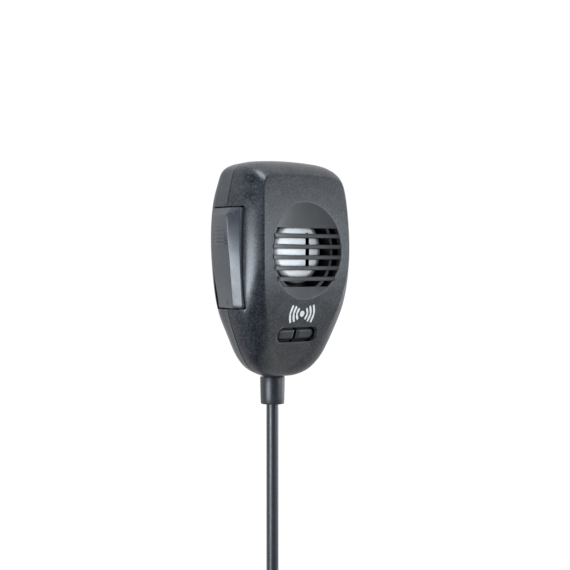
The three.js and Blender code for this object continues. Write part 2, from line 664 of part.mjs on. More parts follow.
// ---- Circuit board -----------------------------------------------------------------------
function circuitBoard() {
  const sheet = prismY(insetRing(partingRing, BOARD_MARGIN), BOARD_Y, BOARD_BACK_Y);
  const bounds = box([BOARD_LEFT, BODY_WIDTH], [0, BACK_Y], [BOARD_BOTTOM, BODY_TOP]);
  const clearances = SHELL_SCREWS.map(([x, z]) => (
    rod([x, 0, z], [x, BACK_Y, z], BOSS_RADIUS + 0.6 + GAP)
  ));
  const holes = BOARD_SCREWS.map(([x, z]) => (
    rod([x, 0, z], [x, BACK_Y, z], SCREW_RADIUS + GAP, { sides: 8 })
  ));
  return cut(keep(sheet, bounds), ...clearances, ...holes);
}

function screw([x, z], seatY, tipY) {
  const length = seatY - tipY;
  return turned([
    [0, tipY], [SCREW_RADIUS, tipY + Math.min(0.6, length / 4)], [SCREW_RADIUS, seatY],
    [SCREW_HEAD_RADIUS, seatY], [SCREW_HEAD_RADIUS * 0.8, seatY + SCREW_HEAD_HEIGHT],
    [0, seatY + SCREW_HEAD_HEIGHT],
  ], x, z, 12);
}

add('circuit_board', circuitBoard(), LAMINATE);
BOARD_SCREWS.forEach((place, i) => {
  add(`board_screw_${i + 1}`, screw(place, BOARD_BACK_Y + GAP, SCREW_TIP_Y + 1), STEEL);
});
add('amplifier_chip', box([2, 8], [BOARD_BACK_Y + GAP, BOARD_BACK_Y + 2], [-20, -11]), SWITCH_PLASTIC);
add('smoothing_capacitor', rod(
  [-8, BOARD_BACK_Y + GAP, -14], [-8, BOARD_BACK_Y + 5.2, -14], 2.2,
), SWITCH_PLASTIC);
add('cord_connector', box([-5, 5], [BOARD_BACK_Y + GAP, BOARD_BACK_Y + 4.4], [-33, -28]), LIGHT_PLASTIC);

SHELL_SCREWS.forEach((place, i) => {
  add(`shell_screw_${i + 1}`, screw(place, SCREW_SEAT_Y + GAP, SCREW_TIP_Y), STEEL);
});

// ---- Hang-up stud on the back ------------------------------------------------------------
const STUD_BACK_Y = BACK_Y + GAP;
const STUD_BORE_END = STUD_FACE_Y - 1.8;
const STUD_WASHER_Y = BACK_Y - WALL - GAP;
add('hang_up_stud', turned([
  [0, STUD_FACE_Y], [STUD_RADIUS - 0.5, STUD_FACE_Y], [STUD_RADIUS, STUD_FACE_Y - 0.5],
  [STUD_RADIUS, STUD_FACE_Y - STUD_DISC], [STUD_NECK, STUD_FACE_Y - STUD_DISC - 1],
  [STUD_NECK, STUD_BACK_Y], [STUD_SCREW_RADIUS + GAP, STUD_BACK_Y],
  [STUD_SCREW_RADIUS + GAP, STUD_BORE_END], [0, STUD_BORE_END],
], 0, STUD_Z), STEEL);
add('stud_washer', turned([
  [STUD_SCREW_RADIUS + GAP, STUD_WASHER_Y], [6, STUD_WASHER_Y], [6, STUD_WASHER_Y - 0.7],
  [STUD_SCREW_RADIUS + GAP, STUD_WASHER_Y - 0.7], [STUD_SCREW_RADIUS + GAP, STUD_WASHER_Y],
], 0, STUD_Z, 16), STEEL);
add('stud_screw', turned([
  [0, STUD_BORE_END - GAP], [STUD_SCREW_RADIUS, STUD_BORE_END - GAP],
  [STUD_SCREW_RADIUS, STUD_WASHER_Y - 0.7 - GAP], [3.4, STUD_WASHER_Y - 0.7 - GAP],
  [3, STUD_WASHER_Y - 2.9], [0, STUD_WASHER_Y - 2.9],
], 0, STUD_Z, 12), STEEL);

// ---- Strain relief and the cord's inner end ----------------------------------------------
const CORD_RADIUS = CORD_DIAMETER / 2;
const CORD_INNER_TOP = -42;
const CORD_START = BOOT_END + 4;

// The same turning about a vertical line, for what hangs in line with the cord: [radius, z].
function turnedUpright(profile, x, y, segments = 20) {
  const points = profile.map(([radius, z]) => new THREE.Vector2(radius, z));
  const geometry = closed(new THREE.LatheGeometry(points, segments));
  return geometry.rotateX(Math.PI / 2).translate(x, y, 0);
}

add('cord_boot', turnedUpright([
  [CORD_RADIUS + GAP, BOOT_END], [BOOT_END_RADIUS, BOOT_END], [BOOT_RADIUS, BOOT_TOP],
  [BOOT_NECK_RADIUS, BOOT_TOP], [BOOT_NECK_RADIUS, NECK_TOP], [BOOT_FLANGE_RADIUS, NECK_TOP],
  [BOOT_FLANGE_RADIUS, NECK_TOP + 1.6], [CORD_RADIUS + GAP, NECK_TOP + 1.6],
  [CORD_RADIUS + GAP, BOOT_END],
], 0, CORD_Y), RUBBER);
add('cord_inner_end', rod(
  [0, CORD_Y, CORD_START + GAP], [0, CORD_Y, CORD_INNER_TOP], CORD_RADIUS,
), RUBBER);
const CLAMP_FRONT_Y = CORD_Y - CORD_RADIUS - 2.4;
add('cord_clamp', cut(
  box([-10.5, 10.5], [CLAMP_FRONT_Y, CORD_Y - CORD_RADIUS - GAP], [CLAMP_Z - 1.8, CLAMP_Z + 1.8]),
  ...CLAMP_SCREWS.map(([x, z]) => rod([x, 0, z], [x, BACK_Y, z], SCREW_RADIUS + GAP, { sides: 8 })),
), STEEL);
CLAMP_SCREWS.forEach(([x, z], i) => {
  const headY = CLAMP_FRONT_Y - GAP;
  add(`clamp_screw_${i + 1}`, turned([
    [0, headY - 1.4], [2.1, headY - 1.4], [2.1, headY], [SCREW_RADIUS, headY],
    [SCREW_RADIUS, headY + 7], [0, headY + 7.6],
  ], x, z, 12), STEEL);
});
['red', 'white', 'blue'].forEach((colour, i) => {
  const x = (i - 1) * 1.6;
  add(`cord_wire_${colour}`, tube([
    [x, CORD_Y, CORD_INNER_TOP + GAP], [x, CORD_Y + 0.4, CORD_INNER_TOP + 3],
    [2 * x, BOARD_BACK_Y + 2.6, CORD_INNER_TOP + 6], [2 * x, BOARD_BACK_Y + 2.4, -33 - GAP],
  ], 0.5, 6, 6), finish({ red: 0xb02020, white: 0xe0e0dc, blue: 0x2040a0 }[colour], 0.5));
});

// ---- Free cord: straight lead, curly stretch hung up in loops, tail, plug ------------------
const LOOP_CENTRE_Z = LEAD_BOTTOM - Math.sqrt(
  (CURL_RING_RADIUS + LEAD_BEND) ** 2 - LEAD_BEND ** 2,
);
const CURL_STEPS = 40;
const LOOP_START = Math.asin(LEAD_BEND / (CURL_RING_RADIUS + LEAD_BEND));
const LOOP_END = Math.PI / 2 + 2 * Math.PI * CURL_LOOPS;

// Centre line of the loops: an angle from the top, clockwise seen from the front.
function loopPoint(angle) {
  const turns = (angle - LOOP_START) / (2 * Math.PI);
  return [
    CURL_RING_RADIUS * Math.sin(angle),
    CORD_Y - CURL_LOOP_STEP * turns,
    LOOP_CENTRE_Z + CURL_RING_RADIUS * Math.cos(angle),
  ];
}

function leadPoints() {
  const points = [CORD_START, (CORD_START + LEAD_BOTTOM) / 2, LEAD_BOTTOM].map((z) => [0, CORD_Y, z]);
  const steps = 4;
  const sweep = Math.PI / 2 - LOOP_START - (2.5 * GAP) / LEAD_BEND;
  for (let step = 1; step <= steps; step++) {
    const angle = (sweep * step) / steps;
    points.push([
      LEAD_BEND * (1 - Math.cos(angle)), CORD_Y, LEAD_BOTTOM - LEAD_BEND * Math.sin(angle),
    ]);
  }
  return points;
}

function curlPoints() {
  const points = [];
  for (let step = 0; step <= CURL_STEPS; step++) {
    points.push(loopPoint(LOOP_START + ((LOOP_END - LOOP_START) * step) / CURL_STEPS));
  }
  return points;
}

const lead = leadPoints();
const curl = curlPoints();
const [tailX, tailY, tailTop] = curl[curl.length - 1];
const TAIL_BOTTOM = tailTop - TAIL_LENGTH;
add('cord_lead', tube(lead, CORD_RADIUS, 20, 10), RUBBER);
add('curly_cord', tube(curl, CURL_DIAMETER / 2, CURL_STEPS, 8), RUBBER);
add('cord_tail', rod(
  [tailX, tailY, tailTop - GAP - 1], [tailX, tailY, TAIL_BOTTOM - PLUG_BOOT_LENGTH + 3], CORD_RADIUS,
), RUBBER);

// A strap round both loops where they lie side by side, near the top.
function cordTie() {
  const angle = THREE.MathUtils.degToRad(-42);
  const [, frontY] = loopPoint(angle + 4 * Math.PI);
  const [, behindY] = loopPoint(angle + 2 * Math.PI);
  const slack = 1.1;
  const half = CURL_DIAMETER / 2 + slack;
  const strap = 1.2;
  const width = 11;
  const band = (extra, reach) => (
    box([-reach, reach], [frontY - half - extra, behindY + half + extra], [-half - extra, half + extra])
  );
  const loop = cut(band(strap, width / 2), band(0, width));
  loop.translate(0, 0, CURL_RING_RADIUS);
  return loop.rotateY(angle).translate(0, 0, LOOP_CENTRE_Z);
}
add('cord_tie', cordTie(), RUBBER);

// ---- Round locking plug --------------------------------------------------------------------
const PLUG_TOP = TAIL_BOTTOM - PLUG_BOOT_LENGTH - GAP;
const PLUG_FACE = PLUG_TOP - PLUG_LENGTH;
const PLUG_SEAT = PLUG_FACE + RING_LENGTH;
const BARREL_BORE = INSERT_RADIUS + GAP;
add('plug_boot', turnedUpright([
  [CORD_RADIUS + GAP, TAIL_BOTTOM - PLUG_BOOT_LENGTH], [6.6, TAIL_BOTTOM - PLUG_BOOT_LENGTH],
  [5.2, TAIL_BOTTOM - PLUG_BOOT_LENGTH + 5], [4.2, TAIL_BOTTOM], [CORD_RADIUS + GAP, TAIL_BOTTOM],
  [CORD_RADIUS + GAP, TAIL_BOTTOM - PLUG_BOOT_LENGTH],
], tailX, tailY), RUBBER);
add('plug_barrel', turnedUpright([
  [BARREL_BORE, PLUG_FACE + 1], [7.4, PLUG_FACE + 1], [7.4, PLUG_SEAT], [PLUG_RADIUS, PLUG_SEAT + 0.6],
  [PLUG_RADIUS, PLUG_TOP], [CORD_RADIUS + GAP, PLUG_TOP], [CORD_RADIUS + GAP, PLUG_TOP - 1.4],
  [BARREL_BORE, PLUG_TOP - 3], [BARREL_BORE, PLUG_FACE + 1],
], tailX, tailY, 24), NICKEL);
add('plug_coupling_ring', turnedUpright([
  [7.4 + GAP, PLUG_FACE], [RING_RADIUS, PLUG_FACE], [RING_RADIUS, PLUG_SEAT - GAP],
  [7.4 + GAP, PLUG_SEAT - GAP], [7.4 + GAP, PLUG_FACE],
], tailX, tailY, 24), NICKEL);

function plugInsert() {
  const top = PLUG_FACE + 9;
  const disc = rod([tailX, tailY, PLUG_FACE], [tailX, tailY, top], INSERT_RADIUS, { sides: 24 });
  const holes = [];
  for (let i = 0; i < CONTACT_COUNT; i++) {
    const angle = ((i + 0.5) / CONTACT_COUNT) * 2 * Math.PI;
    const x = tailX + 4 * Math.cos(angle);
    const y = tailY + 4 * Math.sin(angle);
    holes.push(rod([x, y, PLUG_FACE - 1], [x, y, PLUG_FACE + 5], 0.75, { sides: 8 }));
  }
  return cut(disc, ...holes);
}
add('plug_insert', plugInsert(), SWITCH_PLASTIC);

// ---- Assembly: the stud's outer face comes to the origin -----------------------------------
const microphone = new THREE.Group();
microphone.name = 'hand_microphone';
microphone.position.set(0, -STUD_FACE_Y, -STUD_Z);
microphone.add(...nodes);

export default microphone;
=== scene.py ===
"""Looks of a hand microphone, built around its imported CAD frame.

Sizes are millimetres in the design frame, whose origin is the centre of the grille dish on the
face: X to the right seen from the front, Y backwards, Z up. Mould turns them into the frame's
metres. Every sub-assembly is a class that builds its meshes and dresses them.
"""

import logging
import math
from dataclasses import dataclass
from enum import Enum
from typing import Callable, Iterable, Sequence

import bmesh
import bpy
import numpy as np
from mathutils import Matrix, Vector

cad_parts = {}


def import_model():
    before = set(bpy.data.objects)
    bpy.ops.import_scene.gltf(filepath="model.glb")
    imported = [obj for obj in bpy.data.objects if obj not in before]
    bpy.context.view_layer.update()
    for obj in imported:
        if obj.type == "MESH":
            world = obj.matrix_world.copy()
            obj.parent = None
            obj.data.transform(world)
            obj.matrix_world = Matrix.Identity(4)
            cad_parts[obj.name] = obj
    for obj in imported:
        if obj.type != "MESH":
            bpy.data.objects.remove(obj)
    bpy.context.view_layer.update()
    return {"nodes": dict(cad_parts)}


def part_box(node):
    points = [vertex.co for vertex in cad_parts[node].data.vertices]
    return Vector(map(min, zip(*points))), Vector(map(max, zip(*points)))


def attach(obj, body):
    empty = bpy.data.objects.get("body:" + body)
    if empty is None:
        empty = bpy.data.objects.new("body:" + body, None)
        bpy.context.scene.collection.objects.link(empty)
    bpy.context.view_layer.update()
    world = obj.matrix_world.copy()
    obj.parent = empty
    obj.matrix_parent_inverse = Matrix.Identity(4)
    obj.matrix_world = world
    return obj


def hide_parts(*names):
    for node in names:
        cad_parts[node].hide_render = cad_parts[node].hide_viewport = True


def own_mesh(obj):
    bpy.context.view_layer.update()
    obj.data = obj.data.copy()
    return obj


LOG = logging.getLogger("microphone")
MM = 0.001
Point = tuple[float, float, float]
Outline = Sequence[tuple[float, float]]
Ring = np.ndarray


# ---- Places ---------------------------------------------------------------------------------


class Mould:
    """Turns millimetres of the design frame into metres of the CAD frame."""

    origin: Vector = Vector((0.0, 0.0, 0.0))

    @classmethod
    def settle(cls) -> None:
        """Reads the design origin from the frame: on the face, in line with the capsule."""
        low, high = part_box("capsule_body")
        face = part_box("front_shell")[0][1]
        cls.origin = Vector(((low[0] + high[0]) / 2, face, (low[2] + high[2]) / 2))

    @classmethod
    def place(cls, point: Sequence[float]) -> Vector:
        """Gives a design point in metres of the frame."""
        return cls.origin + Vector(point) * MM

    @classmethod
    def places(cls, points: np.ndarray) -> np.ndarray:
        """Gives an array of design points in metres of the frame."""
        return np.asarray(points, dtype=float) * MM + np.array(cls.origin)


# ---- Shader maths -----------------------------------------------------------------------------


class Sock:
    """A node socket that Python expressions can be written on."""

    def __init__(self, shader: "Shader", socket: bpy.types.NodeSocket) -> None:
        """Wraps an output socket of a shader's tree."""
        self.shader = shader
        self.socket = socket

    def _math(self, operation: str, *values: object) -> "Sock":
        """Adds one Math node and gives its result."""
        node = self.shader.node("ShaderNodeMath", {"operation": operation})
        for i, value in enumerate(values):
            self.shader.feed(node.inputs[i], value)
        return Sock(self.shader, node.outputs[0])

    def __add__(self, other: object) -> "Sock":
        """Gives the sum."""
        return self._math("ADD", self, other)

    def __radd__(self, other: object) -> "Sock":
        """Gives the sum."""
        return self._math("ADD", other, self)

    def __sub__(self, other: object) -> "Sock":
        """Gives the difference."""
        return self._math("SUBTRACT", self, other)

    def __rsub__(self, other: object) -> "Sock":
        """Gives the difference, reflected."""
        return self._math("SUBTRACT", other, self)

    def __mul__(self, other: object) -> "Sock":
        """Gives the product."""
        return self._math("MULTIPLY", self, other)

    def __rmul__(self, other: object) -> "Sock":
        """Gives the product."""
        return self._math("MULTIPLY", other, self)

    def power(self, exponent: float) -> "Sock":
        """Gives the value raised to a power."""
        return self._math("POWER", self, exponent)

    def sine(self) -> "Sock":
        """Gives the sine."""
        return self._math("SINE", self)

    def clamped(self) -> "Sock":
        """Gives the value held between 0 and 1."""
        sock = self._math("ADD", self, 0.0)
        sock.socket.node.use_clamp = True
        return sock


class Shader:
    """A material's node tree, built by short calls."""

    def __init__(self, name: str) -> None:
        """Starts a material with a Principled BSDF.

        Args:
            name: The material's name.
        """
        self.material = bpy.data.materials.new(name)
        self.material.use_nodes = True
        self.tree = self.material.node_tree
        self.tree.nodes.clear()
        self.output = self.node("ShaderNodeOutputMaterial")
        self.surface = self.node("ShaderNodeBsdfPrincipled")
        self.tree.links.new(self.surface.outputs[0], self.output.inputs["Surface"])

    def node(self, kind: str, settings: dict | None = None, inputs: dict | None = None) -> bpy.types.Node:
        """Adds any node.

        Args:
            kind: The node's type.
            settings: Properties that are set before its sockets are fed.
            inputs: Values or links for its sockets, by name or number.

        Returns:
            The node.
        """
        node = self.tree.nodes.new(kind)
        for key, value in (settings or {}).items():
            setattr(node, key, value)
        for key, value in (inputs or {}).items():
            self.feed(node.inputs[key], value)
        return node

    def feed(self, socket: bpy.types.NodeSocket, value: object) -> None:
        """Links a socket to a Sock, or sets its value."""
        if isinstance(value, Sock):
            self.tree.links.new(value.socket, socket)
        else:
            socket.default_value = value

    def coordinates(self) -> Sock:
        """Gives the object's own coordinates, in metres."""
        return Sock(self, self.node("ShaderNodeTexCoord").outputs["Object"])

    def stretched(self, vector: Sock, scale: Point) -> Sock:
        """Gives coordinates scaled differently along X, Y and Z."""
        node = self.node("ShaderNodeVectorMath", {"operation": "MULTIPLY"}, {0: vector, 1: scale})
        return Sock(self, node.outputs[0])

    def split(self, vector: Sock) -> tuple[Sock, Sock, Sock]:
        """Gives the three parts of a vector."""
        node = self.node("ShaderNodeSeparateXYZ", None, {0: vector})
        return Sock(self, node.outputs[0]), Sock(self, node.outputs[1]), Sock(self, node.outputs[2])

    def noise(self, vector: Sock, size_mm: float, detail: float = 3.0, rough: float = 0.55) -> Sock:
        """Gives a noise from 0 to 1 whose grains measure about size_mm."""
        node = self.node(
            "ShaderNodeTexNoise",
            None,
            {"Vector": vector, "Scale": 1.0 / (size_mm * MM), "Detail": detail, "Roughness": rough},
        )
        return Sock(self, node.outputs[0])

    def cells(self, vector: Sock, size_mm: float) -> Sock:
        """Gives the distance to the nearest of many scattered points."""
        node = self.node("ShaderNodeTexVoronoi", None, {"Vector": vector, "Scale": 1.0 / (size_mm * MM)})
        return Sock(self, node.outputs["Distance"])

    def ramp(self, value: Sock, low: float, high: float) -> Sock:
        """Gives a smooth 0 to 1 step between two values."""
        node = self.node(
            "ShaderNodeMapRange",
            {"interpolation_type": "SMOOTHSTEP"},
            {"Value": value, "From Min": low, "From Max": high},
        )
        return Sock(self, node.outputs[0])

    def mixed(self, share: Sock, first: Sequence[float] | Sock, second: Sequence[float] | Sock) -> Sock:
        """Gives a colour mixed from two by a share."""
        node = self.node("ShaderNodeMix", {"data_type": "RGBA"})
        self.feed(node.inputs["Factor"], share)
        self.feed(node.inputs[6], first if isinstance(first, Sock) else (*first, 1.0))
        self.feed(node.inputs[7], second if isinstance(second, Sock) else (*second, 1.0))
        return Sock(self, node.outputs[2])

    def bump(self, height: Sock, depth_mm: float, strength: float = 1.0) -> None:
        """Roughens the surface by a height from 0 to 1.

        Args:
            height: The height.
            depth_mm: How deep a height of 1 is.
            strength: How much of it shows.
        """
        node = self.node("ShaderNodeBump", None, {"Height": height})
        node.inputs["Strength"].default_value = strength
        node.inputs["Distance"].default_value = depth_mm * MM
        self.tree.links.new(node.outputs[0], self.surface.inputs["Normal"])

    def set(self, **values: object) -> None:
        """Sets or feeds sockets of the Principled BSDF; _ in a name stands for a space."""
        for name, value in values.items():
            self.feed(self.surface.inputs[name.replace("_", " ")], value)


Colour = tuple[float, float, float]


@dataclass(frozen=True)
class Moulding:
    """Moulded plastic with a spark-eroded skin: fine grains over faint larger mottling.

    Where dish_mm isn't 0, a round of that radius about the grille's centre is smoother, and darker as painted
    shade of the sunk dish.
    """

    name: str
    colour: Colour
    light: Colour
    roughness: float
    grain_mm: float
    depth_mm: float
    dish_mm: float = 0.0

    def material(self) -> bpy.types.Material:
        """Builds the material."""
        shader = Shader(self.name)
        where = shader.coordinates()
        grain = shader.noise(where, self.grain_mm, 2.0, 0.6)
        pits = shader.cells(where, self.grain_mm * 1.7)
        mottle = shader.noise(where, 6.0, 3.0)
        height = 0.65 * grain + 0.35 * pits
        share = shader.ramp(0.75 * height + 0.25 * mottle, 0.36, 0.66)
        colour = shader.mixed(share, self.colour, self.light)
        roughness = self.roughness + 0.16 * (mottle - 0.5) + 0.14 * (grain - 0.5)
        if self.dish_mm:
            dish = self.in_dish(shader, where)
            # Painted shade: the colour inside the dish, bars included, is darkened to stand for the shade in
            # the sunk dish; the higher roughness and weaker bump below are the real moulding's smoother
            # finish.
            smooth = tuple(0.3 * dark + 0.1 * light for dark, light in zip(self.colour, self.light))
            colour = shader.mixed(dish, colour, smooth)
            roughness = roughness + 0.1 * dish
            height = height * (1.0 - 0.85 * dish)
        shader.set(Base_Color=colour, Roughness=roughness, IOR=1.5)
        shader.bump(height, self.depth_mm, 0.75)
        return shader.material

    def in_dish(self, shader: "Shader", where: Sock) -> Sock:
        """Gives 1 inside the grille's dish and 0 outside it."""
        across, _, up = shader.split(where)
        away = (across - Mould.origin.x).power(2.0) + (up - Mould.origin.z).power(2.0)
        return 1.0 - shader.ramp(away, ((self.dish_mm - 0.2) * MM) ** 2, (self.dish_mm * MM) ** 2)


@dataclass(frozen=True)
class Jacket:
    """Extruded cord sheath: satin, with faint waves and dust."""

    name: str
    colour: Colour
    roughness: float

    def material(self) -> bpy.types.Material:
        """Builds the material."""
        shader = Shader(self.name)
        where = shader.coordinates()
        waves = shader.noise(where, 3.0, 2.0)
        dust = shader.ramp(shader.noise(where, 0.5, 3.0, 0.7), 0.55, 0.8)
        lighter = tuple(min(1.0, part * 1.5 + 0.012) for part in self.colour)
        shader.set(
            Base_Color=shader.mixed(0.35 * dust + 0.4 * waves, self.colour, lighter),
            Roughness=self.roughness + 0.15 * (waves - 0.5) + 0.1 * dust,
            IOR=1.5,
        )
        shader.bump(0.7 * waves + 0.3 * dust, 0.05, 0.6)
        return shader.material


@dataclass(frozen=True)
class Plated:
    """Plated metal with hairlines from handling."""

    name: str
    colour: Colour
    roughness: float
    lines: Point = (900.0, 900.0, 6000.0)

    def material(self) -> bpy.types.Material:
        """Builds the material."""
        shader = Shader(self.name)
        where = shader.coordinates()
        lines = shader.noise(shader.stretched(where, tuple(part * MM for part in self.lines)), 1.0, 3.0, 0.65)
        tarnish = shader.noise(where, 2.5, 3.0)
        darker = tuple(part * 0.82 for part in self.colour)
        shader.set(
            Base_Color=shader.mixed(0.5 * tarnish + 0.2 * lines, self.colour, darker),
            Roughness=(self.roughness + 0.12 * (lines - 0.4) + 0.08 * tarnish).clamped(),
            Metallic=1.0,
        )
        shader.bump(lines, 0.01, 0.35)
        return shader.material


@dataclass(frozen=True)
class SolderMask:
    """Circuit board laminate with copper tracks under the green mask."""

    name: str
    colour: Colour
    track: Colour

    def material(self) -> bpy.types.Material:
        """Builds the material."""
        shader = Shader(self.name)
        where = shader.coordinates()
        brick = shader.node(
            "ShaderNodeTexBrick",
            {"offset": 0.37, "squash": 1.7},
            {"Scale": 190.0, "Mortar Size": 0.035, "Mortar Smooth": 0.15},
        )
        _, _, up = shader.split(where)
        across, _, _ = shader.split(where)
        flat = shader.node("ShaderNodeCombineXYZ", None, {0: across, 1: up})
        shader.tree.links.new(flat.outputs[0], brick.inputs["Vector"])
        track = Sock(shader, brick.outputs["Fac"])
        weave = shader.noise(where, 0.4, 2.0)
        shader.set(
            Base_Color=shader.mixed(track, self.colour, self.track),
            Roughness=0.32 + 0.15 * weave,
            Coat_Weight=0.4,
        )
        shader.bump(0.8 * track + 0.2 * weave, 0.05, 0.7)
        return shader.material


@dataclass(frozen=True)
class HookStrap:
    """Woven hook and loop strap."""

    name: str
    colour: Colour

    def material(self) -> bpy.types.Material:
        """Builds the material."""
        shader = Shader(self.name)
        where = shader.coordinates()
        across, depth, up = shader.split(where)
        thread = 2 * math.pi / (0.7 * MM)
        warp = ((across + up) * thread).sine()
        weft = ((depth + 0.6 * up) * thread).sine()
        weave = 0.5 + 0.25 * warp + 0.25 * weft
        fuzz = shader.noise(where, 0.25, 3.0, 0.7)
        lighter = tuple(part * 2.2 + 0.01 for part in self.colour)
        shader.set(
            Base_Color=shader.mixed(0.6 * weave + 0.4 * fuzz, self.colour, lighter),
            Roughness=0.8 + 0.15 * fuzz,
            Sheen_Weight=0.25,
        )
        shader.bump(0.6 * weave + 0.4 * fuzz, 0.18, 0.9)
        return shader.material


class Finish(Enum):
    """The finishes of the microphone's pieces."""

    # dish_mm=20 darkens the grille dish as painted shade and smooths its finish.
    TEXTURED = Moulding("textured_case", (0.006, 0.007, 0.009), (0.041, 0.046, 0.055), 0.36, 0.5, 0.034,
                        dish_mm=20.0)
    SATIN = Moulding("satin_case", (0.024, 0.026, 0.030), (0.045, 0.048, 0.054), 0.38, 0.3, 0.02)
    LEVER = Moulding("satin_lever", (0.03, 0.033, 0.039), (0.055, 0.059, 0.067), 0.36, 0.3, 0.012)
    KEY = Moulding("key_plastic", (0.02, 0.022, 0.026), (0.04, 0.043, 0.05), 0.38, 0.3, 0.02)
    DARK_PART = Moulding("black_moulding", (0.012, 0.012, 0.013), (0.03, 0.03, 0.032), 0.45, 0.4, 0.02)
    IVORY_PART = Moulding("ivory_moulding", (0.62, 0.58, 0.48), (0.72, 0.68, 0.58), 0.4, 0.5, 0.02)
    RUBBER = Moulding("capsule_rubber", (0.012, 0.012, 0.012), (0.03, 0.03, 0.03), 0.75, 0.5, 0.04)
    BOOT = Moulding("boot_rubber", (0.015, 0.017, 0.021), (0.03, 0.033, 0.04), 0.42, 0.5, 0.01)
    PRINT = Moulding("pad_print", (0.86, 0.86, 0.86), (0.95, 0.95, 0.95), 0.45, 0.25, 0.008)
    JACKET = Jacket("cord_jacket", (0.022, 0.024, 0.029), 0.38)
    RED_WIRE = Jacket("red_insulation", (0.45, 0.02, 0.02), 0.35)
    WHITE_WIRE = Jacket("white_insulation", (0.75, 0.75, 0.72), 0.35)
    BLUE_WIRE = Jacket("blue_insulation", (0.02, 0.06, 0.4), 0.35)
    STEEL = Plated("plated_steel", (0.62, 0.62, 0.63), 0.3)
    NICKEL = Plated("bright_nickel", (0.86, 0.86, 0.85), 0.16, (2500.0, 2500.0, 2500.0))
    CAP = Plated("satin_cap", (0.4, 0.4, 0.4), 0.36, (2500.0, 2500.0, 2500.0))
    BRASS = Plated("brass_contact", (0.78, 0.58, 0.25), 0.25)
    LAMINATE = SolderMask("board_laminate", (0.015, 0.11, 0.045), (0.06, 0.24, 0.1))
    STRAP = HookStrap("hook_strap", (0.014, 0.014, 0.016))


class Wardrobe:
    """Builds each finish once and puts it on pieces."""

    made: dict[Finish, bpy.types.Material] = {}

    @classmethod
    def of(cls, finish: Finish) -> bpy.types.Material:
        """Gives a finish's material, built on first use."""
        if finish not in cls.made:
            cls.made[finish] = finish.value.material()
        return cls.made[finish]

    @classmethod
    def dress(cls, piece: bpy.types.Object, finish: Finish) -> None:
        """Gives a whole piece one finish."""
        piece.data.materials.clear()
        piece.data.materials.append(cls.of(finish))

    @classmethod
    def dress_node(cls, node: bpy.types.Object, finish: Finish) -> None:
        """Puts a finish in the material slots of a CAD node."""
        for slot in node.material_slots:
            slot.material = cls.of(finish)


# ---- Mesh work ----------------------------------------------------------------------------------


